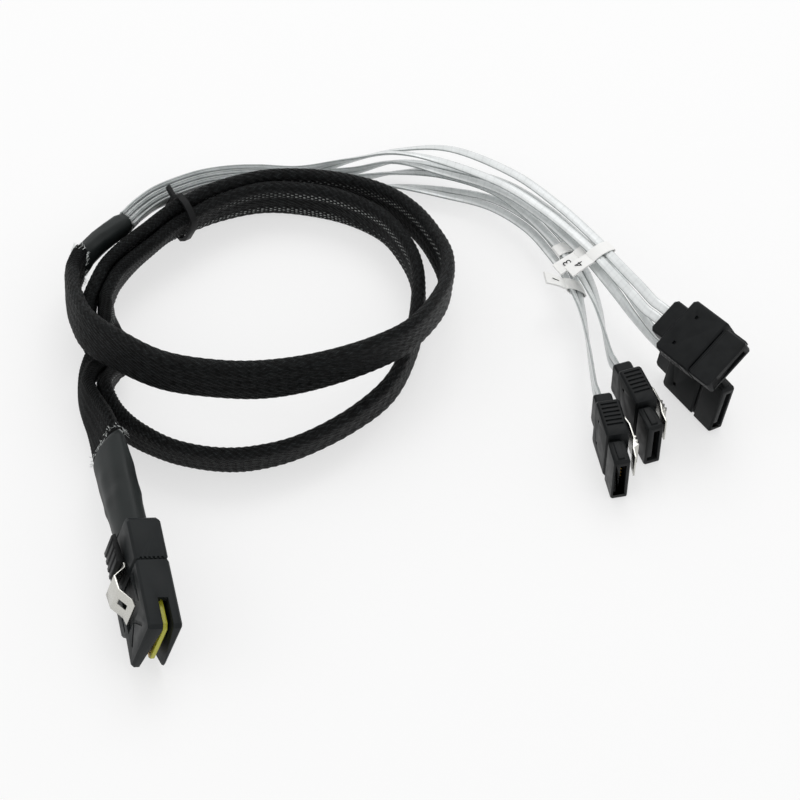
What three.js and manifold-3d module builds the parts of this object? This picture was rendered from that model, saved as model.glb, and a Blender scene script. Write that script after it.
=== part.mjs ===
import * as THREE from 'three';
import { mergeVertices } from 'three/addons/utils/BufferGeometryUtils.js';
import Module from 'manifold-3d';

const wasm = await Module();
wasm.setup();

// Mini SAS to four SATA breakout cable, laid out as it rests on a table.
// Millimetres, +Z up, X to the right and Y to the back. The table is Z = 0.

// Shared clearances
const gap = 0.3;
const degree = Math.PI / 180;
const headingReach = 1.5;

// Flat braided sleeve over the eight leads
const sleeveWidth = 12;
const sleeveThickness = 3.3;
const sleeveCorner = 1.5;
const bunching = 0.8;

// Each lead is a flat twin-conductor strip, and two of them serve one SATA plug
const leadWidth = 2.5;
const leadThickness = 1;
const leadSteps = 44;
const pairSpread = (leadWidth + gap) / 2;
const pairPitch = leadThickness + 0.35;

// Mini SAS plug. Local X is the mating direction, Y its width and Z its thickness, and
// the latch is on the +Z face. The origin is the middle of the rear face.
const plugWidth = 20;
const plugThickness = 7.8;
const plugEdge = 0.5;
const rearCoverLength = 11.8;
const frontBlockLength = 9.9;
const tongueLength = 7.6;
const tongueWidth = 18;
const coverWall = 1.3;
const coverChamfer = 1.6;
const slotHeight = 2.4;
const slotOffset = -0.6;
const slotSideWall = 1.6;
const slotBackWall = 1.8;
const cardThickness = 1;
const cardSetback = 1;
const cardCorner = 1;
const seamNotches = 6;
const seamNotchWidth = 0.5;
const seamNotchDepth = 0.5;

// Latch of the mini SAS plug: a steel leaf along the +Z face and its moulded press pad
const latchWidth = 8;
const latchSheet = 0.5;
const latchRootX = 8.8;
const latchReach = 11.6;
const latchRise = 2.8;
const latchRecess = 0.7;
const latchHookDrop = 0.5;
const padLength = 8;
const padWidth = 7.4;
const padHeight = 1.9;
const padRibs = 3;
const padRibHeight = 0.25;
const padTravel = 0.8;

// SATA plug. Local X is the mating direction, Y its width and Z its thickness, and the
// latch is on the -Z face. The origin is the middle of the rear face.
const sataWidth = 14.9;
const sataThickness = 5.6;
const sataBodyLength = 15.6;
const sataEdge = 0.4;
const bossLength = 4.4;
const bossWidth = 9.6;
const bossThickness = 4.4;
const ribCount = 6;
const ribWidth = 0.6;
const ribPitch = 1.25;
const ribDepth = 0.35;
const ribStart = 5.8;
const gripHole = 0.9;
const gripHoleX = 7.8;
const gripHoleDepth = 0.6;
const noseLength = 6.4;
const noseGroove = 1;
const noseNeckWidth = 12.6;
const noseNeckThickness = 3;
const noseWidth = 13.7;
const noseThickness = 4;
const noseKeyWidth = 1.6;
const noseKeyHeight = 0.5;
const mouthWidth = 10.5;
const mouthHeight = 1.5;
const mouthDepth = 5.6;
const mouthFootWidth = 1.3;
const mouthFootHeight = 1.1;
const mouthFloor = 0.9;
const contactCount = 7;
const contactWidth = 0.6;
const contactPitch = 1.27;
const contactSheet = 0.4;
const contactBar = 1;
const contactTipGap = 2.4;
const sataLatchWidth = 7;
const sataLatchSheet = 0.4;
const sataLatchRootX = 4.8;
const sataLatchReach = 15.2;
const sataLatchRise = 1.1;
const sataLatchTeeth = 3;
const sataToothHeight = 0.5;

// Heat-shrink over the two ends of the sleeve: width and thickness of each section
const bootSections = [
  [0, 12.2, 4.6], [0.05, 13, 6.4], [0.34, 12.6, 7.6], [0.52, 12, 7.8],
  [0.62, 12.4, 8.2], [0.72, 11.8, 7.8], [1, 11.4, 7.6],
];
const shrinkSections = [[0, 11, 4.2], [0.08, 9.6, 5], [0.5, 8.6, 5.6], [0.92, 8, 5.8], [1, 7, 5]];

// Rubber tie around both turns of the sleeve and the leads
const tieThickness = 0.9;
const tieBandWidth = 1.7;
const tieCorner = 4.2;
const tieTail = 2.8;
const tieClearance = 0.8;
const tieRows = [19, 53];

// Paper label folded round each pair of leads, with its flag
const labelWall = 0.3;
const labelLength = 3.6;
const labelFlag = 6.5;

// Where each connector lies: the middle of its rear face, then heading, pitch and roll
const plugPose = { at: [-60.6, -51.4, 12.6], heading: -76.5, pitch: -5.6, roll: 73, rests: true };
const sataPoses = [
  { at: [48.04, -7.64, 7.5], heading: -79, pitch: 0, roll: 90, rests: true },
  { at: [53.2, 2.06, 7.5], heading: -70.5, pitch: 0, roll: 90, rests: true },
  { at: [64.96, 10.29, 8.0], heading: -56, pitch: 0, roll: 79, rests: true },
  { at: [63.83, 9.08, 20], heading: -52, pitch: 6, roll: 27 },
];
const leadIn = 6;

// Route of the sleeve: x, y, z of its middle, and its lean from upright in degrees.
// It starts at the plug, makes two turns, and crosses its own start at the left by
// rolling over it there. Where a fifth value stands, the braid is bunched to that share
// of its width and is thicker.
const sleeveRoute = [
  [-68.2, -24.5, 11.5, 32], [-70.5, -17.5, 10.4, 22], [-72.3, -13, 9.4, 15], [-73.9, -9, 8.6, 11],
  [-75.3, -4, 7.8, 10], [-74.9, 1, 8.3, 24, 0.84], [-73.7, 3.5, 9.2, 47, 0.7],
  [-72.4, 6, 9.8, 70, 0.62], [-71.4, 8.5, 9.9, 93, 0.6], [-70.6, 11, 9.7, 116, 0.62],
  [-70.1, 13.5, 9.1, 139, 0.7], [-70.7, 16.2, 8.1, 160, 0.84], [-71.9, 20, 7.3, 176, 0.96],
  [-73.2, 24, 6.8, 188], [-71.8, 31.4, 6.9, 196], [-69.8, 35.7, 7.1, 201], [-66.6, 40.2, 7.3, 207],
  [-62.8, 44.6, 7.6, 210], [-58.8, 49, 8, 210], [-54.9, 52, 8, 207], [-46.4, 58.2, 7.3, 200],
  [-35.5, 62.4, 6.8, 193], [-24, 62.3, 6.3, 189], [-13.5, 59.2, 6.2, 188], [-4.5, 53.2, 6.2, 187],
  [1, 45, 6.2, 184], [4.1, 36.5, 6.2, 182], [4.6, 27, 6.2, 180], [3, 14, 6.2, 178],
  [-2, -0.8, 6.2, 170], [-11.5, -11.5, 6.2, 162], [-23.5, -19.5, 6.2, 158], [-34, -23, 6.2, 158],
  [-43, -23.5, 6.2, 158], [-52.5, -21.4, 6.2, 160], [-59.9, -17.6, 6.2, 166],
  [-65.2, -13.5, 6.2, 174], [-68.9, -9, 6.3, 182], [-71.2, -4, 7, 190], [-70.3, 1, 6.3, 204, 0.84],
  [-70.1, 3.5, 5.2, 227, 0.7], [-70.6, 6, 4.6, 250, 0.62], [-71.6, 8.5, 4.5, 273, 0.6],
  [-73, 11, 4.7, 296, 0.62], [-74.5, 13.5, 5.3, 319, 0.7], [-75.5, 16.2, 6.3, 340, 0.84],
  [-76.3, 20, 6.9, 356, 0.96], [-77, 24.4, 7.4, 368], [-75.2, 32.6, 7.9, 376],
  [-72.8, 37.5, 8.5, 381], [-69.2, 42.4, 9.1, 387], [-65.2, 46.8, 9.5, 390], [-61, 51.4, 9.8, 390],
  [-56.9, 54.8, 9.8, 387], [-48, 61.4, 8.5, 380], [-36, 66.7, 6.9, 373], [-24, 67.5, 6.3, 369],
  [-13, 65.5, 6.3, 367], [-3.5, 61.5, 6.3, 366], [3.5, 54.5, 6.8, 363], [8.5, 45, 8, 360],
  [11.5, 33.5, 10.5, 357], [10, 20, 14.5, 354], [3, 5.3, 18.8, 350], [-6, -2.4, 20.2, 352],
  [-18.5, -8, 20.5, 356], [-30.5, -11, 20.8, 360], [-42, -11, 20.8, 360], [-55.5, -8.4, 20.8, 363],
  [-66.5, -2.2, 20.8, 368], [-74.5, 5.3, 19.6, 370], [-78.8, 16, 16.5, 368],
  [-80.8, 25.5, 13.2, 366], [-80.8, 30.5, 12, 366], [-80, 35, 11.2, 366],
];
const shrinkRoute = [[-76.2, 42.2, 11, 16], [-69.9, 49.6, 10.6, 26]];

// Routes of the leads: x, y, z and lean. All eight leave the breakout heat-shrink as one
// stack, and then part into four pairs, whose fifth value is half the distance between
// the two leads where it isn't the usual one.
const leadBundle = [
  [-66.3, 54.9, 10.6, 28], [-61.5, 60, 10.1, 27], [-52.7, 66.1, 8.6, 23], [-44.5, 69.7, 6.9, 18],
  [-36.5, 71.9, 5, 12], [-25.5, 72.7, 3.7, 8],
];
const pairRoutes = [
  [
    [-12.5, 70.2, 3.2, 20], [-1, 70.2, 3.2, 50], [12, 67.6, 3.4, 78], [24, 62.5, 4.6, 90],
    [33.5, 53.5, 5.6, 90], [39.5, 42.5, 6.6, 80], [42.8, 33, 7.4, 60], [45, 22, 7.6, 25],
    [46.1, 10, 7.5, 6],
  ],
  [
    [-12.5, 72.8, 3.4, 24], [-1, 74, 4.4, 50], [12, 72.8, 5.4, 78], [25, 66, 6.8, 90],
    [34.5, 55, 7.8, 90], [42, 42, 8.8, 80], [46, 33, 9, 60], [48.8, 23.5, 8.5, 32],
    [50.1, 14.8, 7.9, 10],
  ],
  [
    [-12.5, 74.6, 4.4, 26], [-1, 75.8, 6.6, 50], [12, 71.2, 8, 80], [26, 63.6, 9.8, 90],
    [36.5, 53.4, 10.8, 92], [45, 41.2, 12, 92], [49.9, 34, 12, 102], [54.4, 26.9, 11, 128],
    [58.1, 20.8, 9.2, 152],
  ],
  [
    [-12.5, 76.4, 6.8, 40, 1.8], [-1, 77.8, 8.4, 55, 2.4], [12, 74.8, 10, 82, 3],
    [27.5, 64, 12.2, 90, 2.4], [38.5, 52, 13.5, 92, 1.9], [47.5, 39.5, 14.5, 96, 1.5],
    [51.6, 32.2, 15.2, 100, 1.4], [54.9, 25.4, 16.6, 106, 1.4],
    [57.6, 19.6, 18, 112, 1.4],
  ],
];

// Where each label sits on its pair, as a share of the pair's length, and the side that
// its flag points to
const labelPlaces = [
  { share: 0.737, side: 1 },
  { share: 0.666, side: -1 },
  { share: 0.685, side: 1 },
  { share: 0.694, side: 1 },
];

const colours = {
  sleeve: ['#16181a', 0.9, 0],
  shrink: ['#25282a', 0.55, 0],
  tie: ['#121314', 0.6, 0],
  lead: ['#b9bdbd', 0.35, 0.3],
  label: ['#f2f1ec', 0.85, 0],
  plug: ['#26292c', 0.5, 0],
  pad: ['#17191b', 0.5, 0],
  steel: ['#c6c6c0', 0.3, 0.9],
  card: ['#a7a52e', 0.55, 0],
  sata: ['#1b1d1f', 0.5, 0],
  nose: ['#202325', 0.45, 0],
  contact: ['#c79a3c', 0.35, 0.9],
};

function material(name) {
  const [color, roughness, metalness] = colours[name];
  return new THREE.MeshStandardMaterial({ color, roughness, metalness });
}

// Solids: a closed mesh to a manifold and back

function toSolid(geometry) {
  const bare = geometry.index ? geometry.toNonIndexed() : geometry.clone();
  bare.deleteAttribute('normal');
  bare.deleteAttribute('uv');
  const merged = mergeVertices(bare, 1e-4);
  return new wasm.Manifold(new wasm.Mesh({
    numProp: 3,
    vertProperties: new Float32Array(merged.attributes.position.array),
    triVerts: new Uint32Array(merged.index.array),
  }));
}

function toGeometry(solid) {
  const mesh = solid.getMesh();
  const geometry = new THREE.BufferGeometry();
  geometry.setAttribute('position', new THREE.BufferAttribute(mesh.vertProperties, 3));
  geometry.setIndex(new THREE.BufferAttribute(mesh.triVerts, 1));
  geometry.computeVertexNormals();
  return geometry;
}

function cut(body, ...tools) {
  return toGeometry(tools.reduce((rest, tool) => rest.subtract(toSolid(tool)), toSolid(body)));
}

function join(body, ...others) {
  return toGeometry(others.reduce((all, other) => all.add(toSolid(other)), toSolid(body)));
}

function boxBetween(x0, x1, y0, y1, z0, z1) {
  const box = new THREE.BoxGeometry(x1 - x0, y1 - y0, z1 - z0);
  return box.translate((x0 + x1) / 2, (y0 + y1) / 2, (z0 + z1) / 2);
}

function outline(points) {
  return new THREE.Shape(points.map(([x, y]) => new THREE.Vector2(x, y)));
}

// A plate with bevelled faces, its outline in X and Y and its thickness centred on Z = 0
function plate(points, thickness, bevel) {
  const geometry = new THREE.ExtrudeGeometry(outline(points), {
    depth: thickness - 2 * bevel,
    bevelEnabled: bevel > 0,
    bevelThickness: bevel,
    bevelSize: bevel,
    bevelOffset: -bevel,
    bevelSegments: 1,
  });
  return geometry.translate(0, 0, bevel - thickness / 2);
}

// A side profile in X and Z, extruded along Y and centred on Y = 0
function profile(points, width) {
  const geometry = new THREE.ExtrudeGeometry(outline(points), { depth: width, bevelEnabled: false });
  return geometry.rotateX(Math.PI / 2).translate(0, width / 2, 0);
}

// Curves that carry their own lean, so that a flat section turns as the cable does

class LeaningCurve extends THREE.Curve {
  constructor(route, usual, offset = 0) {
    super();
    this.turns = new THREE.CatmullRomCurve3(
      route.map((row) => new THREE.Vector3(row[3], row[4] ?? usual, 0)), false, 'catmullrom');
    this.middle = new THREE.CatmullRomCurve3(
      route.map(([x, y, z]) => new THREE.Vector3(x, y, z)), false, 'catmullrom');
    this.reach = headingReach / (route.length - 1);
    this.offset = offset;
  }

  // The way that the cable runs, taken over a few points of its route
  heading(t) {
    return this.middle.getPoint(Math.min(1, t + this.reach))
      .sub(this.middle.getPoint(Math.max(0, t - this.reach))).normalize();
  }

  widthAxis(t) {
    const heading = this.heading(t);
    const inward = new THREE.Vector3().crossVectors(heading, new THREE.Vector3(0, 0, 1)).normalize();
    const lean = this.turns.getPoint(t).x * degree;
    return new THREE.Vector3().crossVectors(inward, heading).multiplyScalar(Math.cos(lean))
      .addScaledVector(inward, Math.sin(lean)).normalize();
  }

  getPoint(t, target = new THREE.Vector3()) {
    const point = this.middle.getPoint(t);
    if (this.offset !== 0) {
      point.addScaledVector(this.widthAxis(t), this.offset * this.turns.getPoint(t).y);
    }
    return target.copy(point);
  }

  // Steps follow the route's own points, which are closer where the cable turns
  getUtoTmapping(u) {
    return u;
  }

  frameAt(u) {
    const tangent = this.heading(u);
    const width = this.widthAxis(u);
    return { point: this.getPoint(u), tangent, width, across: width.clone().cross(tangent) };
  }

  // The section's axes, longer or shorter where the braid is bunched
  computeFrenetFrames(segments) {
    const frames = Array.from({ length: segments + 1 }, (_, i) => this.frameAt(i / segments));
    const shares = frames.map((_, i) => (this.offset === 0 ? this.turns.getPoint(i / segments).y : 1));
    return {
      tangents: frames.map((frame) => frame.tangent),
      normals: frames.map((frame, i) => frame.across.multiplyScalar(1 + (1 - shares[i]) * bunching)),
      binormals: frames.map((frame, i) => frame.width.multiplyScalar(shares[i])),
    };
  }
}

// Eight- or twelve-sided flat section with clipped or rounded corners
function flatSection(thickness, width, corner, rounded) {
  const [a, b] = [thickness / 2, width / 2];
  const points = [];
  for (const [sx, sy] of [[1, 1], [-1, 1], [-1, -1], [1, -1]]) {
    const arc = [[a, b - corner], [a - corner, b]];
    if (rounded) {
      arc.splice(1, 0, [a - corner * (1 - Math.SQRT1_2), b - corner * (1 - Math.SQRT1_2)]);
    }
    if (sx * sy < 0) {
      arc.reverse();
    }
    points.push(...arc.map(([x, y]) => [sx * x, sy * y]));
  }
  return points;
}

function flatTube(curve, thickness, width, corner, steps, rounded) {
  return new THREE.ExtrudeGeometry(outline(flatSection(thickness, width, corner, rounded)), {
    steps, extrudePath: curve, bevelEnabled: false,
  });
}

// A closed skin over elliptical rings, each given by its middle, its two axes and its size
function loft(sections, sides = 16) {
  const positions = [];
  const triangles = [];
  const along = sections.at(-1).middle.clone().sub(sections[0].middle);
  const facing = sections[0].width.clone().cross(sections[0].across);
  const rings = along.dot(facing) > 0 ? sections : sections.slice().reverse();
  rings.forEach(({ middle, width, across, size }) => {
    for (let i = 0; i < sides; i += 1) {
      const angle = (i / sides) * 2 * Math.PI;
      const point = middle.clone().addScaledVector(width, Math.cos(angle) * size[0] / 2)
        .addScaledVector(across, Math.sin(angle) * size[1] / 2);
      positions.push(point.x, point.y, point.z);
    }
  });
  for (let ring = 0; ring + 1 < rings.length; ring += 1) {
    for (let i = 0; i < sides; i += 1) {
      const [a, b] = [ring * sides + i, ring * sides + (i + 1) % sides];
      triangles.push(a, b, a + sides, b, b + sides, a + sides);
    }
  }
  for (let i = 1; i + 1 < sides; i += 1) {
    const last = (rings.length - 1) * sides;
    triangles.push(0, i + 1, i, last, last + i, last + i + 1);
  }
  const geometry = new THREE.BufferGeometry();
  geometry.setAttribute('position', new THREE.Float32BufferAttribute(positions, 3));
  geometry.setIndex(triangles);
  geometry.computeVertexNormals();
  return geometry;
}

// Placing

function poseMatrix({ at, heading, pitch, roll }) {
  const turn = new THREE.Euler(roll * degree, -pitch * degree, heading * degree, 'ZYX');
  return new THREE.Matrix4().makeRotationFromEuler(turn).setPosition(...at);
}

// The connectors that lie on the table are lowered or raised until they touch it
function settle(holder, pose) {
  holder.applyMatrix4(poseMatrix(pose));
  if (pose.rests) {
    holder.updateMatrixWorld(true);
    holder.position.z -= new THREE.Box3().setFromObject(holder, true).min.z;
  }
  holder.updateMatrixWorld(true);
  return holder;
}

function addMesh(holder, name, geometry, look) {
  const mesh = new THREE.Mesh(geometry, material(look));
  mesh.name = name;
  holder.add(mesh);
  return mesh;
}

// Mini SAS plug

const frontBlockX = rearCoverLength + gap;
const tongueX = frontBlockX + frontBlockLength;
const mouthX = tongueX + tongueLength;

function plugHousing() {
  const half = plugWidth / 2;
  const low = half - tongueWidth;
  const body = plate([
    [frontBlockX, -half], [tongueX - 2, -half], [tongueX, low + 0.8], [mouthX - 0.8, low + 0.4],
    [mouthX, low + 1.2], [mouthX, half - 0.8], [mouthX - 0.8, half], [frontBlockX, half],
  ], plugThickness, plugEdge);
  const slotX = frontBlockX + slotBackWall;
  const [slotLow, slotHigh] = [slotOffset - slotHeight / 2, slotOffset + slotHeight / 2];
  const slot = boxBetween(slotX, mouthX + 1, low + slotSideWall, half - slotSideWall, slotLow, slotHigh);
  const openSides = boxBetween(tongueX, mouthX + 1, -half - 1, half + 1, slotLow, slotHigh);
  const recess = boxBetween(frontBlockX - 1, latchEnd + 2, -latchWidth / 2 - 0.6, latchWidth / 2 + 0.6,
    plugThickness / 2 - latchRecess, plugThickness);
  const passage = boxBetween(frontBlockX - 1, slotX + 1, -half + 3, half - 3, slotLow, slotHigh);
  return cut(body, slot, openSides, recess, passage);
}

function plugRearCover() {
  const half = plugWidth / 2;
  const inner = half - coverWall;
  const body = plate([
    [0, -half + coverChamfer], [coverChamfer, -half], [rearCoverLength, -half],
    [rearCoverLength, half], [coverChamfer, half], [0, half - coverChamfer],
  ], plugThickness, plugEdge);
  const cavity = boxBetween(coverWall, rearCoverLength + 1, -inner, inner,
    -plugThickness / 2 + coverWall, plugThickness / 2 - coverWall);
  const entry = boxBetween(-1, coverWall + 1, -3.6, 3.6, -1.8, 1.8);
  const notches = [];
  for (let i = 0; i < seamNotches; i += 1) {
    const z = (i - (seamNotches - 1) / 2) * seamNotchWidth * 2;
    notches.push(boxBetween(rearCoverLength - seamNotchDepth, rearCoverLength + 1,
      half - seamNotchDepth, half + 1, z - seamNotchWidth / 2, z + seamNotchWidth / 2));
  }
  return cut(body, cavity, entry, ...notches);
}

function paddleCard() {
  const top = plugWidth / 2 - slotSideWall - gap;
  const bottom = plugWidth / 2 - tongueWidth + slotSideWall + gap;
  const rear = coverWall + 3;
  const front = mouthX - cardSetback;
  const neck = frontBlockX + slotBackWall;
  const neckHalf = plugWidth / 2 - 3 - gap;
  return plate([
    [rear, -neckHalf], [neck + gap, -neckHalf], [neck + gap, bottom], [front - cardCorner, bottom],
    [front, bottom + cardCorner], [front, top - cardCorner], [front - cardCorner, top],
    [neck + gap, top], [neck + gap, neckHalf], [rear, neckHalf],
  ], cardThickness, 0).translate(0, 0, slotOffset);
}

// The leaf starts under the pad, bows out and ends in a hook over the recess
const leafRootZ = plugThickness / 2 + gap;
const latchEnd = latchRootX + latchReach;

function plugLatch() {
  const crest = leafRootZ + latchRise;
  const line = [
    [latchRootX, leafRootZ], [latchRootX + 1.2, leafRootZ], [latchRootX + 3.4, crest],
    [latchEnd - 4.6, crest - 0.4], [latchEnd - 1.8, leafRootZ - latchHookDrop + 0.4],
    [latchEnd, leafRootZ - latchHookDrop],
  ];
  const upper = line.slice().reverse().map(([x, z]) => [x, z + latchSheet]);
  const leaf = profile([...line, ...upper], latchWidth);
  const window = boxBetween(latchEnd - 4, latchEnd - 2, -1, 1, leafRootZ - 2, crest + 2);
  return cut(leaf, window);
}

function plugLatchPad() {
  const start = latchRootX - padLength;
  const low = plugThickness / 2 + gap;
  const top = low + padHeight;
  const points = [[start, low + padTravel], [latchRootX - gap - 1, low], [latchRootX - gap, low],
    [latchRootX - gap, top]];
  for (let i = 0; i < padRibs; i += 1) {
    const x = latchRootX - gap - 1 - i * 2;
    points.push([x, top], [x, top - padRibHeight], [x - 0.9, top - padRibHeight], [x - 0.9, top]);
  }
  points.push([start + 0.6, top]);
  return profile(points, padWidth);
}

function buildPlug(root) {
  const holder = new THREE.Group();
  root.add(holder);
  addMesh(holder, 'plug_rear_cover', plugRearCover(), 'plug');
  addMesh(holder, 'plug_housing', plugHousing(), 'plug');
  addMesh(holder, 'paddle_card', paddleCard(), 'card');
  addMesh(holder, 'plug_latch', plugLatch(), 'steel');
  addMesh(holder, 'plug_latch_pad', plugLatchPad(), 'pad');
  return settle(holder, plugPose);
}

// SATA plugs

const noseX = sataBodyLength + noseGroove;
const sataFront = noseX + noseLength;
const noseTop = sataThickness / 2;
const noseLow = noseTop - noseThickness;
const noseMiddleY = -(sataWidth - noseWidth) / 2;
const mouthLow = noseLow + mouthFloor;
const sataLatchZ = -sataThickness / 2 - gap;

function sataBody() {
  const half = sataWidth / 2;
  const body = plate([
    [bossLength, -half + 0.8], [bossLength + 0.8, -half], [sataBodyLength, -half],
    [sataBodyLength, half], [bossLength + 0.8, half], [bossLength, half - 0.8],
  ], sataThickness, sataEdge);
  const boss = plate([
    [0, -bossWidth / 2 + 0.8], [0.8, -bossWidth / 2], [bossLength + 1, -bossWidth / 2],
    [bossLength + 1, bossWidth / 2], [0.8, bossWidth / 2], [0, bossWidth / 2 - 0.8],
  ], bossThickness, sataEdge);
  const grooves = [];
  for (let i = 0; i < ribCount; i += 1) {
    const x = ribStart + i * ribPitch;
    for (const side of [-1, 1]) {
      const y = side * half;
      grooves.push(boxBetween(x, x + ribWidth, y - ribDepth, y + ribDepth,
        -sataThickness / 2 + 0.8, sataThickness / 2 - 0.8));
    }
  }
  const holes = [-1, 1].map((side) => boxBetween(gripHoleX, gripHoleX + gripHole, side * 4 - gripHole / 2,
    side * 4 + gripHole / 2, sataThickness / 2 - gripHoleDepth, sataThickness));
  return cut(join(body, boss), ...grooves, ...holes);
}

function sataNose() {
  const [low, high] = [noseMiddleY - noseWidth / 2, noseMiddleY + noseWidth / 2];
  const middleZ = (noseTop + noseLow) / 2;
  const body = plate([
    [noseX, low], [sataFront - 0.5, low], [sataFront, low + 0.5],
    [sataFront, high - 0.5], [sataFront - 0.5, high], [noseX, high],
  ], noseThickness, 0.3).translate(0, 0, middleZ);
  const neck = boxBetween(sataBodyLength + gap, noseX + 0.5, noseMiddleY - noseNeckWidth / 2,
    noseMiddleY + noseNeckWidth / 2, middleZ - noseNeckThickness / 2, middleZ + noseNeckThickness / 2);
  const key = boxBetween(noseX + 0.4, sataFront - 1, high - 0.2, high + noseKeyHeight,
    middleZ - noseKeyWidth / 2, middleZ + noseKeyWidth / 2);
  const mouth = boxBetween(sataFront - mouthDepth, sataFront + 1, noseMiddleY - mouthWidth / 2,
    noseMiddleY + mouthWidth / 2, mouthLow, mouthLow + mouthHeight);
  const foot = boxBetween(sataFront - mouthDepth, sataFront + 1, noseMiddleY - mouthWidth / 2,
    noseMiddleY - mouthWidth / 2 + mouthFootWidth, mouthLow, mouthLow + mouthHeight + mouthFootHeight);
  return cut(join(body, neck, key), mouth, foot);
}

function sataContacts() {
  const back = sataFront - mouthDepth + gap;
  const half = mouthWidth / 2 - gap;
  const points = [[back, -half], [back + contactBar, -half]];
  for (let i = 0; i < contactCount; i += 1) {
    const y = (i - (contactCount - 1) / 2) * contactPitch;
    points.push([back + contactBar, y - contactWidth / 2], [sataFront - contactTipGap, y - contactWidth / 2],
      [sataFront - contactTipGap, y + contactWidth / 2], [back + contactBar, y + contactWidth / 2]);
  }
  points.push([back + contactBar, half], [back, half]);
  return plate(points, contactSheet, 0)
    .translate(0, noseMiddleY, mouthLow + gap + contactSheet / 2);
}

function sataLatch() {
  const end = sataLatchRootX + sataLatchReach;
  const low = sataLatchZ - sataLatchSheet;
  const line = [
    [sataLatchRootX, sataLatchZ], [sataLatchRootX + 1.5, sataLatchZ],
    [sataLatchRootX + 5, sataLatchZ - sataLatchRise], [end - 6, sataLatchZ - sataLatchRise],
    [end - 3, sataLatchZ - 0.2], [end, sataLatchZ],
  ];
  const under = [[end, low], [end - 3, low - 0.2]];
  for (let i = 0; i < sataLatchTeeth; i += 1) {
    const x = end - 3.6 - i * 1.2;
    under.push([x + 0.2, low - sataLatchRise * 0.8], [x - 0.2, low - sataLatchRise - sataToothHeight],
      [x - 0.6, low - sataLatchRise]);
  }
  under.push([sataLatchRootX + 5, low - sataLatchRise], [sataLatchRootX + 1.5, low], [sataLatchRootX, low]);
  return profile([...line, ...under], sataLatchWidth);
}

function buildSata(root, pose, index) {
  const holder = new THREE.Group();
  root.add(holder);
  addMesh(holder, `sata_${index}_body`, sataBody(), 'sata');
  addMesh(holder, `sata_${index}_nose`, sataNose(), 'nose');
  addMesh(holder, `sata_${index}_contacts`, sataContacts(), 'contact');
  addMesh(holder, `sata_${index}_latch`, sataLatch(), 'steel');
  return settle(holder, pose);
}

// Sleeve, heat-shrinks and leads

const sleeveCurve = new LeaningCurve(sleeveRoute, 1);

// Rings of the given sections, spread between the first and the last of some frames
function ringsAlong(frames, sections) {
  return sections.map(([share, width, across]) => {
    const place = Math.min(share * (frames.length - 1), frames.length - 1 - 1e-9);
    const [from, to] = [frames[Math.floor(place)], frames[Math.floor(place) + 1]];
    const part = place - Math.floor(place);
    return {
      middle: from.point.clone().lerp(to.point, part),
      width: from.width.clone().lerp(to.width, part).normalize(),
      across: from.across.clone().lerp(to.across, part).normalize(),
      size: [width, across],
    };
  });
}

// Moves a frame along its own tangent, so that facing ends keep their clearance
function shifted(frame, distance) {
  return { ...frame, point: frame.point.clone().addScaledVector(frame.tangent, distance) };
}

function rearFrame(holder) {
  const [forward, width, across] = [new THREE.Vector3(), new THREE.Vector3(), new THREE.Vector3()];
  holder.matrixWorld.extractBasis(forward, width, across);
  const point = new THREE.Vector3().setFromMatrixPosition(holder.matrixWorld);
  return { point, tangent: forward, width, across };
}

function buildBoot(root, plug) {
  const start = shifted(sleeveCurve.frameAt(0), -gap);
  const end = shifted(rearFrame(plug), -gap);
  addMesh(root, 'plug_boot', loft(ringsAlong([start, end], bootSections)), 'shrink');
}

const shrinkCurve = new LeaningCurve([
  ...sleeveRoute.slice(-1).map(([x, y, z, lean]) => [x, y, z, lean - 360]),
  ...shrinkRoute,
], 1);

function buildShrink(root) {
  const frames = [0.25, 0.5, 0.75, 1].map((share) => shrinkCurve.frameAt(share));
  addMesh(root, 'breakout_shrink',
    loft(ringsAlong([shifted(sleeveCurve.frameAt(1), gap), ...frames], shrinkSections)), 'shrink');
}

// Where the middle of one pair runs while all pairs are still stacked
function stackedRows(index) {
  const end = shifted(shrinkCurve.frameAt(1), gap);
  const last = shrinkRoute.at(-1);
  const rows = [[...end.point.toArray(), last[3]], ...leadBundle];
  const curve = new LeaningCurve(rows, pairSpread);
  return rows.map((row, place) => {
    const t = place / (rows.length - 1);
    const width = curve.widthAxis(t);
    const across = width.clone().cross(place === 0 ? end.tangent : curve.heading(t));
    const offset = (index - (pairRoutes.length - 1) / 2) * pairPitch;
    return [...new THREE.Vector3(...row).addScaledVector(across, offset).toArray(), row[3]];
  });
}

// The last stretch of a pair runs straight into the rear of its connector
function routeTo(holder, route, roll) {
  const { point, tangent } = rearFrame(holder);
  const lastLean = route.at(-1)[3];
  const lean = roll - 90 + 180 * Math.round((lastLean - roll + 90) / 180);
  return [...route, ...[leadIn, leadIn / 2, gap].map((distance) => {
    const [x, y, z] = point.clone().addScaledVector(tangent, -distance).toArray();
    return [x, y, z, lean];
  })];
}

function buildLeads(root, pairs) {
  pairs.forEach((route, index) => {
    for (const [letter, side] of [['a', 1], ['b', -1]]) {
      const curve = new LeaningCurve(route, pairSpread, side);
      const tube = flatTube(curve, leadThickness, leadWidth, leadThickness * 0.3, leadSteps, false);
      addMesh(root, `lead_${index + 1}${letter}`, tube, 'lead');
    }
  });
}

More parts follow.
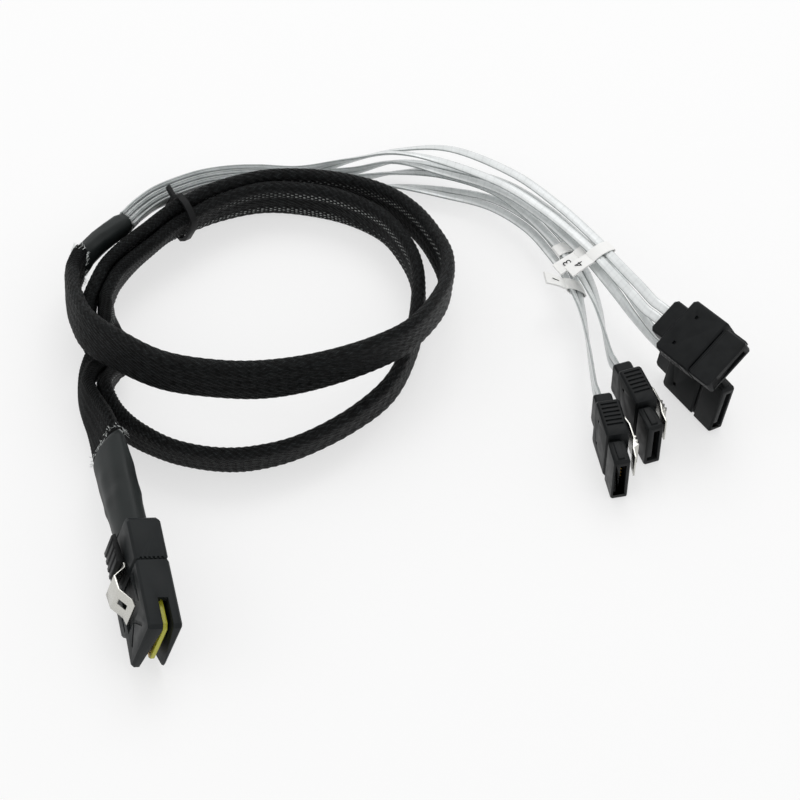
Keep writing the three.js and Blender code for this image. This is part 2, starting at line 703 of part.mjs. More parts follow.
function buildLabels(root, pairs) {
  pairs.forEach((route, index) => {
    const { share, side } = labelPlaces[index];
    const curve = new LeaningCurve(route, pairSpread);
    const { point, tangent, width, across } = curve.frameAt(share);
    const spread = curve.turns.getPoint(share).y;
    const w = spread + leadWidth / 2 + gap + labelWall;
    const h = leadThickness / 2 + gap + labelWall;
    const wrap = boxBetween(-w, w, -h, h, -labelLength / 2, labelLength / 2);
    const flagFrom = side > 0 ? w - labelWall : -w - labelFlag;
    const flag = boxBetween(flagFrom, flagFrom + labelFlag + labelWall, -labelWall, labelWall,
      -labelLength / 2, labelLength / 2);
    const hollow = boxBetween(-w + labelWall, w - labelWall, -h + labelWall, h - labelWall,
      -labelLength, labelLength);
    const mesh = addMesh(root, `label_${index + 1}`, cut(join(wrap, flag), hollow), 'label');
    mesh.applyMatrix4(new THREE.Matrix4().makeBasis(width, across.clone().negate(), tangent)
      .setPosition(point));
  });
}

// A flat ring round both turns of the sleeve, with its loose tail
function buildTie(root) {
  const [first, second] = tieRows.map((row) => sleeveCurve.frameAt(row / (sleeveRoute.length - 1)));
  const apart = second.point.clone().sub(first.point);
  const width = first.width.clone().multiplyScalar(Math.sign(first.width.z))
    .addScaledVector(second.width, Math.sign(second.width.z)).normalize();
  const tangent = first.tangent.clone().add(second.tangent).normalize();
  width.addScaledVector(tangent, -width.dot(tangent)).normalize();
  const across = width.clone().cross(tangent);
  const inner = [Math.abs(apart.dot(across)) / 2 + sleeveThickness / 2 + tieClearance,
    Math.abs(apart.dot(width)) / 2 + sleeveWidth / 2 + tieClearance];
  const outer = inner.map((half) => 2 * (half + tieThickness));
  const ring = outline(flatSection(outer[0], outer[1], tieCorner, true));
  const hole = flatSection(2 * inner[0], 2 * inner[1], tieCorner - tieThickness, true);
  ring.holes.push(new THREE.Path(hole.map(([x, y]) => new THREE.Vector2(x, y))));
  const band = new THREE.ExtrudeGeometry(ring, { depth: tieBandWidth, bevelEnabled: false });
  band.translate(0, 0, -tieBandWidth / 2);
  const tail = boxBetween(outer[0] / 2 - tieThickness, outer[0] / 2 + tieTail,
    outer[1] / 2 - tieCorner - tieBandWidth, outer[1] / 2 - tieCorner, -tieThickness / 2, tieThickness / 2);
  const mesh = addMesh(root, 'cable_tie', join(band, tail), 'tie');
  mesh.applyMatrix4(new THREE.Matrix4().makeBasis(across, width, tangent)
    .setPosition(first.point.clone().lerp(second.point, 0.5)));
}

function buildCable() {
  const root = new THREE.Group();
  const plug = buildPlug(root);
  const satas = sataPoses.map((pose, index) => buildSata(root, pose, index + 1));

  // The origin is under the middle of the connectors' box, at table height
  const box = new THREE.Box3().setFromObject(root, true);
  const middle = box.getCenter(new THREE.Vector3());

  const pairs = pairRoutes.map((route, index) => routeTo(
    satas[index], [...stackedRows(index), ...route], sataPoses[index].roll));
  const sleeve = flatTube(sleeveCurve, sleeveThickness, sleeveWidth, sleeveCorner,
    sleeveRoute.length - 1, true);
  addMesh(root, 'braided_sleeve', sleeve, 'sleeve');
  buildBoot(root, plug);
  buildShrink(root);
  buildLeads(root, pairs);
  buildLabels(root, pairs);
  buildTie(root);
  root.position.set(-middle.x, -middle.y, -box.min.z);
  return root;
}

export default buildCable();
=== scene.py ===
"""Mini SAS to four SATA breakout cable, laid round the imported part."""

import math
import random

import bpy
import numpy as np
from bpy.props import FloatProperty, FloatVectorProperty, IntProperty, PointerProperty
from mathutils import Matrix, Vector, noise


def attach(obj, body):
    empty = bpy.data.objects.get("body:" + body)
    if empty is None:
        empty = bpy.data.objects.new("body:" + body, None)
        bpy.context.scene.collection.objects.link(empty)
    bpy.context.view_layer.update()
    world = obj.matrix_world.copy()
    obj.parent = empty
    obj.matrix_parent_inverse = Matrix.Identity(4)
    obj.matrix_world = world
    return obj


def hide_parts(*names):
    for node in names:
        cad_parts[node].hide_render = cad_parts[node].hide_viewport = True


bl_info = {
    "name": "Breakout cable",
    "version": (1, 0, 0),
    "blender": (4, 5, 0),
    "location": "View3D > Sidebar > Cable",
    "description": "Builds a mini SAS to four SATA breakout cable as it lies on a table",
    "category": "Add Mesh",
}

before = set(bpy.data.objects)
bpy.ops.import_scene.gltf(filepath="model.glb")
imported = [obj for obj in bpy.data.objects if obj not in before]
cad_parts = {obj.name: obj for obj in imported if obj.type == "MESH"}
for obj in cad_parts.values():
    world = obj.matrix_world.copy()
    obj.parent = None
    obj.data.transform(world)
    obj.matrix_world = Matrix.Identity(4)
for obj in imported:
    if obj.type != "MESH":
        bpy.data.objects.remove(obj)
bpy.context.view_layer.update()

MM = 0.001


def route(rows, usual, unit):
    """The rows of a cable's route in metres: x, y and z in millimetres, the lean from upright
    in degrees, and a value with its own unit, which a row leaves out where it is the usual."""
    return np.array([(*row, usual)[:5] for row in rows]) * (MM, MM, MM, 1, unit)


# The fifth value is the share of its width to which the braid is bunched
SLEEVE_ROUTE = route([
    (-75.77, 10.16, 11.5, 32), (-78.07, 17.16, 10.4, 22), (-79.87, 21.66, 9.4, 15),
    (-81.47, 25.66, 8.6, 11), (-82.87, 30.66, 7.8, 10), (-82.47, 35.66, 8.3, 24, 0.84),
    (-81.27, 38.16, 9.2, 47, 0.7), (-79.97, 40.66, 9.8, 70, 0.62), (-78.97, 43.16, 9.9, 93, 0.6),
    (-78.17, 45.66, 9.7, 116, 0.62), (-77.67, 48.16, 9.1, 139, 0.7),
    (-78.27, 50.86, 8.1, 160, 0.84), (-79.47, 54.66, 7.3, 176, 0.96), (-80.77, 58.66, 6.8, 188),
    (-79.37, 66.06, 6.9, 196), (-77.37, 70.36, 7.1, 201), (-74.17, 74.86, 7.3, 207),
    (-70.37, 79.26, 7.6, 210), (-66.37, 83.66, 8, 210), (-62.47, 86.66, 8, 207),
    (-53.97, 92.86, 7.3, 200), (-43.07, 97.06, 6.8, 193), (-31.57, 96.96, 6.3, 189),
    (-21.07, 93.86, 6.2, 188), (-12.07, 87.86, 6.2, 187), (-6.57, 79.66, 6.2, 184),
    (-3.47, 71.16, 6.2, 182), (-2.97, 61.66, 6.2, 180), (-4.57, 48.66, 6.2, 178),
    (-9.57, 33.86, 6.2, 170), (-19.07, 23.16, 6.2, 162), (-31.07, 15.16, 6.2, 158),
    (-41.57, 11.66, 6.2, 158), (-50.57, 11.16, 6.2, 158), (-60.07, 13.26, 6.2, 160),
    (-67.47, 17.06, 6.2, 166), (-72.77, 21.16, 6.2, 174), (-76.47, 25.66, 6.3, 182),
    (-78.77, 30.66, 7, 190), (-77.87, 35.66, 6.3, 204, 0.84), (-77.67, 38.16, 5.2, 227, 0.7),
    (-78.17, 40.66, 4.6, 250, 0.62), (-79.17, 43.16, 4.5, 273, 0.6),
    (-80.57, 45.66, 4.7, 296, 0.62), (-82.07, 48.16, 5.3, 319, 0.7),
    (-83.07, 50.86, 6.3, 340, 0.84), (-83.87, 54.66, 6.9, 356, 0.96), (-84.57, 59.06, 7.4, 368),
    (-82.77, 67.26, 7.9, 376), (-80.37, 72.16, 8.5, 381), (-76.77, 77.06, 9.1, 387),
    (-72.77, 81.46, 9.5, 390), (-68.57, 86.06, 9.8, 390), (-64.47, 89.46, 9.8, 387),
    (-55.57, 96.06, 8.5, 380), (-43.57, 101.36, 6.9, 373), (-31.57, 102.16, 6.3, 369),
    (-20.57, 100.16, 6.3, 367), (-11.07, 96.16, 6.3, 366), (-4.07, 89.16, 6.8, 363),
    (0.93, 79.66, 8, 360), (3.93, 68.16, 10.5, 357), (2.43, 54.66, 14.5, 354),
    (-4.57, 39.96, 18.8, 350), (-13.57, 32.26, 20.2, 352), (-26.07, 26.66, 20.5, 356),
    (-38.07, 23.66, 20.8, 360), (-49.57, 23.66, 20.8, 360), (-63.07, 26.26, 20.8, 363),
    (-74.07, 32.46, 20.8, 368), (-82.07, 39.96, 19.6, 370), (-86.37, 50.66, 16.5, 368),
    (-88.37, 60.16, 13.2, 366), (-88.37, 65.16, 12, 366), (-87.57, 69.66, 11.2, 366),
], 1, 1)

# The fifth value is half the distance between the two leads of a pair
PAIR_ROUTES = [route(rows, 1.4, MM) for rows in (
    [
        (-75.86, 83.37, 9.7, 26), (-72.61, 88.29, 9.65, 28), (-68.02, 93.19, 9.19, 27),
        (-59.45, 99.08, 7.82, 23), (-51.54, 102.5, 6.28, 18), (-43.76, 104.6, 4.59, 12),
        (-32.89, 105.36, 3.42, 8), (-20.07, 104.86, 3.2, 20), (-8.57, 104.86, 3.2, 50),
        (4.43, 102.26, 3.4, 78), (16.43, 97.16, 4.6, 90), (25.93, 88.16, 5.6, 90),
        (31.93, 77.16, 6.6, 80), (35.23, 67.66, 7.4, 60), (37.43, 56.66, 7.6, 25),
        (38.53, 44.66, 7.5, 6), (39.32, 32.9, 7.45, 0), (39.89, 29.96, 7.45, 0),
        (40.41, 27.31, 7.45, 0),
    ],
    [
        (-76.82, 84.12, 10.29, 26), (-73.45, 89.13, 10.28, 28), (-68.72, 94.17, 9.8, 27),
        (-60, 100.2, 8.34, 23), (-51.89, 103.74, 6.69, 18), (-43.97, 105.9, 4.86, 12),
        (-33.01, 106.69, 3.61, 8), (-20.07, 107.46, 3.4, 24), (-8.57, 108.66, 4.4, 50),
        (4.43, 107.46, 5.4, 78), (17.43, 100.66, 6.8, 90), (26.93, 89.66, 7.8, 90),
        (34.43, 76.66, 8.8, 80), (38.43, 67.66, 9, 60), (41.23, 58.16, 8.5, 32),
        (42.53, 49.46, 7.9, 10), (43.62, 42.37, 7.45, 0), (44.63, 39.54, 7.45, 0),
        (45.53, 37, 7.45, 0),
    ],
    [
        (-77.77, 84.87, 10.88, 26), (-74.3, 89.98, 10.92, 28), (-69.42, 95.14, 10.4, 27),
        (-60.55, 101.31, 8.86, 23), (-52.25, 104.97, 7.11, 18), (-44.18, 107.21, 5.14, 12),
        (-33.14, 108.02, 3.79, 8), (-20.07, 109.26, 4.4, 26), (-8.57, 110.46, 6.6, 50),
        (4.43, 105.86, 8, 80), (18.43, 98.26, 9.8, 90), (28.93, 88.06, 10.8, 92),
        (37.43, 75.86, 12, 92), (42.33, 68.66, 12, 102), (46.83, 61.56, 11, 128),
        (50.53, 55.46, 9.2, 152), (54.03, 49.92, 7.77, 169), (55.71, 47.43, 7.77, 169),
        (57.22, 45.19, 7.77, 169),
    ],
    [
        (-78.72, 85.62, 11.48, 26), (-75.14, 90.82, 11.55, 28), (-70.13, 96.12, 11.01, 27),
        (-61.09, 102.43, 9.38, 23), (-52.61, 106.21, 7.52, 18), (-44.39, 108.51, 5.41, 12),
        (-33.26, 109.35, 3.98, 8), (-20.07, 111.06, 6.8, 40, 1.8), (-8.57, 112.46, 8.4, 55, 2.4),
        (4.43, 109.46, 10, 82, 3), (19.93, 98.66, 12.2, 90, 2.4), (30.93, 86.66, 13.5, 92, 1.9),
        (39.93, 74.16, 14.5, 96, 1.5), (44.03, 66.86, 15.2, 100), (47.33, 60.06, 16.6, 106),
        (50.03, 54.26, 18, 112), (52.58, 48.44, 19.37, 117), (54.42, 46.09, 19.69, 117),
        (56.07, 43.97, 19.97, 117),
    ],
)]

# Both ends of the boot: middle, width axis and thickness axis
BOOT_FRAMES = [
    ((-0.07568, 0.00988, 0.01155), (0.457, 0.3007, 0.8371), (-0.8296, -0.1954, 0.5231)),
    ((-0.06824, -0.01645, 0.01249), (0.3061, -0.0225, 0.9517), (-0.9232, -0.251, 0.291)),
]

# Five places along the breakout tube, in the same way
SHRINK_FRAMES = [
    ((-0.08753, 0.06995, 0.01115), (0.1294, 0.163, 0.9781), (-0.9814, 0.1622, 0.1028)),
    ((-0.08583, 0.07324, 0.01111), (0.1758, -0.0813, 0.9811), (-0.8036, 0.5638, 0.1907)),
    ((-0.08377, 0.07686, 0.011), (0.2452, -0.1301, 0.9607), (-0.7852, 0.5545, 0.2755)),
    ((-0.08078, 0.08054, 0.01081), (0.3127, -0.1779, 0.933), (-0.7609, 0.5411, 0.3582)),
    ((-0.07747, 0.08426, 0.0106), (0.3693, -0.2385, 0.8982), (-0.7062, 0.5562, 0.4381)),
]

# Sections of the two tubes: share of the length, then width and thickness in millimetres
BOOT_SECTIONS = [
    (0, 12.2, 4.6), (0.05, 13, 6.4), (0.34, 12.6, 7.6), (0.52, 12, 7.8), (0.62, 12.4, 8.2),
    (0.72, 11.8, 7.8), (1, 11.4, 7.6),
]
SHRINK_SECTIONS = [(0, 11, 4.2), (0.08, 9.6, 5), (0.5, 8.6, 5.6), (0.92, 8, 5.8), (1, 7, 5)]

# Labels: middle, heading, width and thickness axes, half distance of the leads, and side
LABEL_FRAMES = [
    ((0.03592, 0.06486, 0.0075), (0.2276, -0.9731, 0.0346), (-0.7654, -0.1568, 0.6242),
     (0.602, 0.1686, 0.7805), 0.0014, 1),
    ((0.03436, 0.07679, 0.00879), (0.4728, -0.8802, 0.0402), (-0.8713, -0.4603, 0.1704),
     (0.1315, 0.1156, 0.9845), 0.0014, -1),
    ((0.03932, 0.07311, 0.01213), (0.5682, -0.8227, 0.0182), (-0.8201, -0.568, -0.0693),
     (-0.0673, -0.0245, 0.9974), 0.0014, 1),
    ((0.0423, 0.0702, 0.01482), (0.5229, -0.8467, 0.0984), (-0.8358, -0.5319, -0.1358),
     (-0.1674, 0.0113, 0.9858), 0.00143, 1),
]

# Sizes of a label and its numeral, in millimetres
LABEL_WALL = 0.3
LABEL_PLAY = 0.3
LABEL_LENGTH = 3.6
LABEL_FLAG = 6.5
LABEL_CURL = 0.5
NUMERAL_SIZE = 3.2
NUMERAL_DEPTH = 0.012

# How the mini SAS plug lies: the middle of its rear face, its mating direction and the axis of
# its thickness
PLUG_FRAME = (
    (-0.068173, -0.016745, 0.012458), (0.23233, -0.96773, -0.09758), (-0.92322, -0.25099, 0.29098))

# The card in the mini SAS plug and the half heights of the slot's flare, in millimetres of
# the plug's own frame
CARD_Z = -0.6
CARD_HALF = 0.5
CARD_LOW_Y, CARD_MIDDLE_Y, CARD_HIGH_Y = -5.4, 1.0, 7.4
PLATING = 0.05
FINGER_RISE = 0.01
FLARE_REAR, FLARE_LOW, FLARE_HIGH = 0.2, 3.1, 1.25

# The middle of the coil of the sleeve
COIL_MIDDLE = (-0.041, 0.055, 0.012)

# The photograph's point of view: 50 degrees above the table, from 600 mm
CAMERA_PLACE = (-0.00757, -0.35101, 0.4596)
CAMERA_AIM = (-0.00757, 0.03466, 0)
CAMERA_LENS = 110.7
CAMERA_SENSOR = 36

# The table in metres, and its share of plain white. The lamps: name, place, size and share
# of the key light
TABLE_SIZE, TABLE_DROP, TABLE_WHITE = 8, 0.0002, 0.62
LAMPS = [
    ("key_lamp", (0.15, 0.62, 0.95), 0.7, 1.0),
    ("side_lamp", (-0.9, -0.1, 0.7), 0.5, 0.22),
    ("front_lamp", (0.55, -0.8, 0.75), 0.5, 0.2),
]


def linear(code):
    """The linear colour of an sRGB hex value."""
    parts = [int(code[i:i + 2], 16) / 255 for i in (1, 3, 5)]
    return [c / 12.92 if c <= 0.04045 else ((c + 0.055) / 1.055) ** 2.4 for c in parts]


def colour(name, description, code):
    return FloatVectorProperty(
        name=name, description=description, subtype="COLOR", default=linear(code), min=0, max=1)


def length(name, description, millimetres):
    return FloatProperty(
        name=name, description=description, default=millimetres * MM, min=0, unit="LENGTH",
        precision=4)


class CableSleeveSettings(bpy.types.PropertyGroup):
    width: length("Width", "Flat width of the braided sleeve", 12)
    thickness: length("Thickness", "Thickness of the braided sleeve over the leads", 3.3)
    strand_pitch: length("Strand pitch", "Distance between two strands round the sleeve", 1.1)
    relief: length("Relief", "How far a braid strand stands out where it passes on top", 0.14)
    fray_count: IntProperty(
        name="Frayed fibres", description="Loose fibres at each end of the braid", default=70,
        min=0)
    # Painted light on the braid: the strand colour is a painted highlight on each strand's crest,
    # and the colour below is painted shade where a strand passes under
    strand: colour("Strand", "Nylon monofilament on top of the braid", "#3a3e3f")
    strand_low: colour("Strand below", "Nylon monofilament where it passes under", "#020202")
    # The glint colour is the silver of the leads seen in the gaps of the braid, with a painted
    # glint on it
    glint: colour("Glint", "Silver of the leads seen through the braid", "#d3d7d5")


class CableLeadSettings(bpy.types.PropertyGroup):
    width: length("Width", "Width of one flat lead", 2.5)
    thickness: length("Thickness", "Thickness of one flat lead", 1.0)
    foil_pitch: length("Foil pitch", "Length of one turn of the foil wrap under the jacket", 2.4)
    jacket: colour("Jacket", "Clear jacket over silver foil", "#e9ecec")
    crease: colour("Crease", "Shade between the two cores and along the edges", "#868d8c")
    label: colour("Label", "White label stock", "#fcfcfa")
    ink: colour("Ink", "Numerals on the labels", "#1a1a1c")


class CablePlugSettings(bpy.types.PropertyGroup):
    edge: length("Edge radius", "Radius of the moulded edges", 0.16)
    grain: length("Grain", "Size of the spark-eroded grain on the plastic", 0.35)
    finger_pitch: length("Finger pitch", "Distance between two gold fingers of the card", 0.8)
    finger_count: IntProperty(
        name="Fingers", description="Gold fingers on each side of the card", default=18, min=1)
    housing: colour("Mini SAS housing", "Moulded nylon of the mini SAS plug", "#151819")
    pad: colour("Press pad", "Moulded press pad of the latch", "#0c0d0e")
    serial: colour("SATA housing", "Moulded PBT of the SATA plugs", "#0e1011")
    steel: colour("Steel", "Stainless spring steel of the latches", "#cfcec8")
    card: colour("Card", "Edge of the glass-epoxy card", "#b3b12c")
    mask: colour("Solder mask", "Solder mask on the faces of the card", "#3f7a3a")
    gold: colour("Gold", "Gold plating of fingers and contacts", "#d3a750")
    rubber: colour("Heat-shrink", "Polyolefin heat-shrink tube", "#181c1c")
    tie: colour("Tie", "Rubber cable tie", "#0e0f10")


class CableStageSettings(bpy.types.PropertyGroup):
    floor: colour("Floor", "White table top", "#fdfdfd")
    world: FloatProperty(
        name="Room light", description="Strength of the white room", default=0.68, min=0)
    key: FloatProperty(
        name="Key light", description="Strength of the soft lamp over the back", default=3.4, min=0,
        unit="POWER")


# Node trees


def feed(tree, node, inputs):
    """Puts values or links into a node's sockets."""
    for socket, value in inputs.items():
        if isinstance(value, bpy.types.NodeSocket):
            tree.links.new(value, node.inputs[socket])
        else:
            node.inputs[socket].default_value = value


def add_node(tree, kind, inputs=None, **settings):
    """Adds one node, with its settings, and values or links into its sockets."""
    made = tree.nodes.new(kind)
    for name, value in settings.items():
        setattr(made, name, value)
    feed(tree, made, inputs or {})
    return made


def calc(tree, operation, *values, **settings):
    """The result of a maths node over up to three values."""
    return add_node(tree, "ShaderNodeMath", dict(enumerate(values)), operation=operation,
                    **settings).outputs[0]


def remap(tree, value, *limits):
    """Maps a value from the first two limits to 0 and 1, or to the other two limits."""
    return add_node(
        tree, "ShaderNodeMapRange", {0: value, **dict(enumerate(limits, 1))}).outputs[0]


def mixed(tree, share, first, second):
    """A colour between two: a share of 1 gives the second."""
    return add_node(tree, "ShaderNodeMix", {0: share, 6: first, 7: second},
                    data_type="RGBA").outputs[2]


def clouds(tree, place, scale, detail):
    """Soft noise around 0.5."""
    return add_node(tree, "ShaderNodeTexNoise",
                    {"Vector": place, "Scale": scale, "Detail": detail}).outputs[0]


def raised(tree, height, strength, millimetres):
    """A bump of this height."""
    return add_node(tree, "ShaderNodeBump", {
        "Height": height, "Strength": strength, "Distance": millimetres * MM}).outputs[0]


def object_place(tree):
    return add_node(tree, "ShaderNodeTexCoord").outputs["Object"]


def uv_place(tree, name):
    return add_node(tree, "ShaderNodeUVMap", uv_map=name).outputs[0]


def stretched(tree, place, scale, turn=0):
    """Coordinates turned about Z, in degrees, and scaled along each axis."""
    return add_node(tree, "ShaderNodeMapping", {
        0: place, 2: (0, 0, math.radians(turn)), 3: scale}).outputs[0]


def new_material(name):
    """An empty material with its shader and output."""
    made = bpy.data.materials.new(name)
    made.use_nodes = True
    tree = made.node_tree
    tree.nodes.clear()
    shader = add_node(tree, "ShaderNodeBsdfPrincipled")
    add_node(tree, "ShaderNodeOutputMaterial", {"Surface": shader.outputs["BSDF"]})
    return made, tree, shader


def rgba(values, share=1):
    """A colour for a socket, darkened to this share."""
    return (*(c * share for c in values), 1)


def seen_directly(tree):
    """1 for what the camera sees, also in a mirror or through glass."""
    path = add_node(tree, "ShaderNodeLightPath")
    shown = path.outputs["Is Camera Ray"]
    for kind in ("Is Glossy Ray", "Is Transmission Ray"):
        shown = calc(tree, "MAXIMUM", shown, path.outputs[kind])
    return shown


# Looks of the braid: filaments in a strand, where the silver under it, with its painted glint,
# starts and ends, and how sharp the painted highlight on each strand's crest is
FILAMENTS = 3.0
CELLS_PER_ROW = 3.0
BARE_CORNER = (0.22, 0.42)
OPEN_ROW = (0.45, 0.7)
OPEN_PATCH = (0.44, 0.52)
CREST_SHARPNESS = 1.6


def braided_nylon(sleeve):
    """Nylon monofilament braid: each strand is three glossy filaments side by side, with a painted
    highlight on its crest and painted shade where it passes under, and the silver leads show
    through the corners between the strands with a painted glint."""
    made, tree, shader = new_material("braided_nylon")
    # UV coordinates are in cells of the braid
    cells = uv_place(tree, "Braid")
    place = add_node(tree, "ShaderNodeSeparateXYZ", {0: cells})
    around, along = place.outputs["X"], place.outputs["Y"]
    sines, crowns, heights = [], [], []
    for operation in ("ADD", "SUBTRACT"):
        turn = calc(tree, "MULTIPLY", calc(tree, operation, around, along), math.pi)
        sines.append(calc(tree, "SINE", turn))
        crowns.append(calc(tree, "ABSOLUTE", sines[-1]))
        ripple = calc(tree, "SINE", calc(tree, "MULTIPLY", turn, FILAMENTS))
        heights.append(calc(tree, "MULTIPLY", crowns[-1], calc(tree, "ABSOLUTE", ripple)))
    over = calc(tree, "GREATER_THAN", calc(tree, "MULTIPLY", *sines), 0.0)
    height = add_node(tree, "ShaderNodeMix", {0: over, 2: heights[0], 3: heights[1]}).outputs[0]
    # Bare corners between four strands
    low = [calc(tree, "SUBTRACT", 1.0, crown) for crown in crowns]
    bare = remap(tree, calc(tree, "MULTIPLY", *low), *BARE_CORNER)
    # The corners open only over a lead's crown, in rows along the sleeve, and in patches that
    # are about 25 cells, or 40 mm, long
    column = calc(tree, "MULTIPLY", around, math.pi / CELLS_PER_ROW)
    row = remap(tree, calc(tree, "COSINE", column), *OPEN_ROW)
    patch = clouds(tree, stretched(tree, cells, (0.3, 0.04, 1)), 1.0, 1.0)
    # The painted glint on the silver of the leads, in the bare corners
    glint = calc(tree, "MULTIPLY", bare, row)
    glint = calc(tree, "MULTIPLY", glint, remap(tree, patch, *OPEN_PATCH))
    inside = add_node(tree, "ShaderNodeAttribute", attribute_name="coil_side")
    glint = calc(tree, "MULTIPLY", glint, inside.outputs["Fac"])
    # Painted highlight on the crests of the strands, brighter on some filaments than on others,
    # and painted shade in the hollows between them
    speckle = clouds(tree, stretched(tree, cells, (1.3, 1.3, 1)), 1.0, 3.0)
    shade = remap(tree, speckle, 0.38, 0.66, 0.08, 1.0)
    lit = calc(tree, "MULTIPLY", calc(tree, "POWER", height, CREST_SHARPNESS), shade)
    strand = mixed(tree, lit, rgba(sleeve.strand_low), rgba(sleeve.strand))
    feed(tree, shader, {
        "Base Color": mixed(tree, glint, strand, rgba(sleeve.glint)),
        "Normal": raised(tree, height, 1.0, 0.3),
        "Roughness": 0.46, "Specular IOR Level": 0.12,
    })
    return made


# Shares of the crease colour in the seam of the foil, in its worn spots, and in the crease and
# along the edges, where it is painted shade
SEAM_SHARE = 0.12
WORN_SHARE = 0.2
CREASE_SHARE = 0.75


def clear_jacket(lead):
    """Clear PVC over spiral foil: grey silver, with painted shade in the crease between the two
    cores and along the edges.
    """
    made, tree, shader = new_material("clear_pvc_over_foil")
    # UV runs 0 to 1 round the lead and in metres along it
    place = add_node(tree, "ShaderNodeSeparateXYZ", {0: uv_place(tree, "Lead")})
    around, along = place.outputs["X"], place.outputs["Y"]
    # Painted shade in the crease between the two cores and along both edges
    wave = calc(tree, "COSINE", calc(tree, "MULTIPLY", around, 4 * math.pi))
    crease = remap(tree, wave, 0.35, 0.95)
    spiral = calc(tree, "MULTIPLY_ADD", along, 1 / lead.foil_pitch, around)
    turn = calc(tree, "FLOORED_MODULO", spiral, 1.0)
    seam = remap(tree, turn, 0.0, 0.22, 1.0, 0.0)
    worn = remap(tree, clouds(tree, object_place(tree), 260.0, 3.0), 0.3, 0.7, 0.0, WORN_SHARE)
    seam_share = calc(tree, "MULTIPLY_ADD", seam, SEAM_SHARE, worn)
    share = calc(tree, "MULTIPLY_ADD", crease, CREASE_SHARE, seam_share, use_clamp=True)
    feed(tree, shader, {
        "Base Color": mixed(tree, share, rgba(lead.jacket), rgba(lead.crease)),
        "Normal": raised(tree, seam, 0.12, 0.03),
        "Metallic": 0.12, "Roughness": 0.34, "Coat Weight": 0.6, "Coat Roughness": 0.12,
    })
    return made


def moulded(name, tint, grain, roughness, gloss, depth=0.02):
    """Moulded plastic or rubber: a fine eroded grain, with cloudy gloss where hands polished it."""
    made, tree, shader = new_material(name)
    spot = object_place(tree)
    fine = clouds(tree, spot, 1 / grain, 4.0)
    cloud = clouds(tree, spot, 0.12 / grain, 3.0)
    light = [min(1, c * 1.35 + 0.003) for c in tint]
    feed(tree, shader, {
        "Base Color": mixed(tree, remap(tree, cloud, 0.3, 0.7), rgba(tint), rgba(light)),
        "Roughness": remap(tree, cloud, 0.3, 0.7, roughness - 0.06, roughness + 0.08),
        "Normal": raised(tree, fine, 0.35, depth),
        "Specular IOR Level": gloss,
    })
    return made


def brushed_steel(tint):
    """Stainless spring steel, rolled: fine lines along the leaf spread its highlights."""
    made, tree, shader = new_material("rolled_spring_steel")
    lines = clouds(tree, stretched(tree, object_place(tree), (3000, 240, 3000), 14), 1.0, 2.0)
    feed(tree, shader, {
        "Base Color": mixed(tree, lines, rgba(tint, 0.8), rgba(tint)),
        "Roughness": remap(tree, lines, 0.3, 0.7, 0.2, 0.4),
        "Normal": raised(tree, lines, 0.12, 0.02),
        "Metallic": 1.0,
    })
    return made


def plated(name, tint):
    """Gold over nickel: smooth, with small dull spots from mating."""
    made, tree, shader = new_material(name)
    spots = clouds(tree, object_place(tree), 1800.0, 2.0)
    feed(tree, shader, {
        "Base Color": mixed(tree, spots, rgba(tint, 0.85), rgba(tint)),
        "Roughness": remap(tree, spots, 0.35, 0.7, 0.2, 0.42),
        "Metallic": 1.0,
    })
    return made


def glass_epoxy(name, tint):
    """Glass-epoxy laminate: cloudy resin over a woven glass cloth of about 0.5 mm."""
    made, tree, shader = new_material(name)
    spot = object_place(tree)
    cloth = add_node(tree, "ShaderNodeTexChecker", {
        "Vector": spot, "Scale": 2000.0, "Color1": rgba(tint), "Color2": rgba(tint, 0.82)})
    cloud = clouds(tree, spot, 500.0, 2.0)
    feed(tree, shader, {
        "Base Color": mixed(tree, cloud, cloth.outputs[0], rgba(tint)), "Roughness": 0.4})
    return made


def label_stock(tint):
    """Matt white vinyl label: a faint tooth, and the shade of soft creases painted as cloudy
    patches.
    """
    made, tree, shader = new_material("white_vinyl_label")
    spot = object_place(tree)
    tooth = clouds(tree, spot, 3000.0, 3.0)
    # Cloudy patches of painted shade for soft creases
    cloud = clouds(tree, spot, 350.0, 2.0)
    feed(tree, shader, {
        "Base Color": mixed(tree, cloud, rgba(tint, 0.93), rgba(tint)),
        "Normal": raised(tree, tooth, 0.2, 0.02),
        "Roughness": 0.6,
    })
    return made


# Curves and frames


def spline(rows, t):
    """A point of the part's own Catmull-Rom curve, and of the values that its rows carry."""
    last = len(rows) - 1
    place = min(max(t, 0.0), 1.0) * last
    i = min(int(place), last - 1)
    w = place - i
    before = rows[i - 1] if i else 2 * rows[0] - rows[1]
    after = rows[i + 2] if i + 2 <= last else 2 * rows[last] - rows[last - 1]
    start, end = (rows[i + 1] - before) / 2, (after - rows[i]) / 2
    span = rows[i + 1] - rows[i]
    return (rows[i] + start * w + (3 * span - 2 * start - end) * w**2
            + (start + end - 2 * span) * w**3)


# How many rows ahead and behind give a cable's heading
HEADING_REACH = 1.5


def frame_at(rows, t, side=0):
    """The middle of a leaning cable at t, its heading, and the axes of its width and thickness."""
    reach = HEADING_REACH / (len(rows) - 1)
    values = spline(rows, t)
    ahead, behind = spline(rows, min(1, t + reach)), spline(rows, max(0, t - reach))
    heading = Vector(ahead[:3] - behind[:3]).normalized()
    inward = heading.cross(Vector((0, 0, 1))).normalized()
    lean = math.radians(values[3])
    width = (inward.cross(heading) * math.cos(lean) + inward * math.sin(lean)).normalized()
    middle = Vector(values[:3]) + width * side * values[4]
    return middle, heading, width, width.cross(heading), values[4]


def length_of(points):
    return sum((b - a).length for a, b in zip(points, points[1:]))


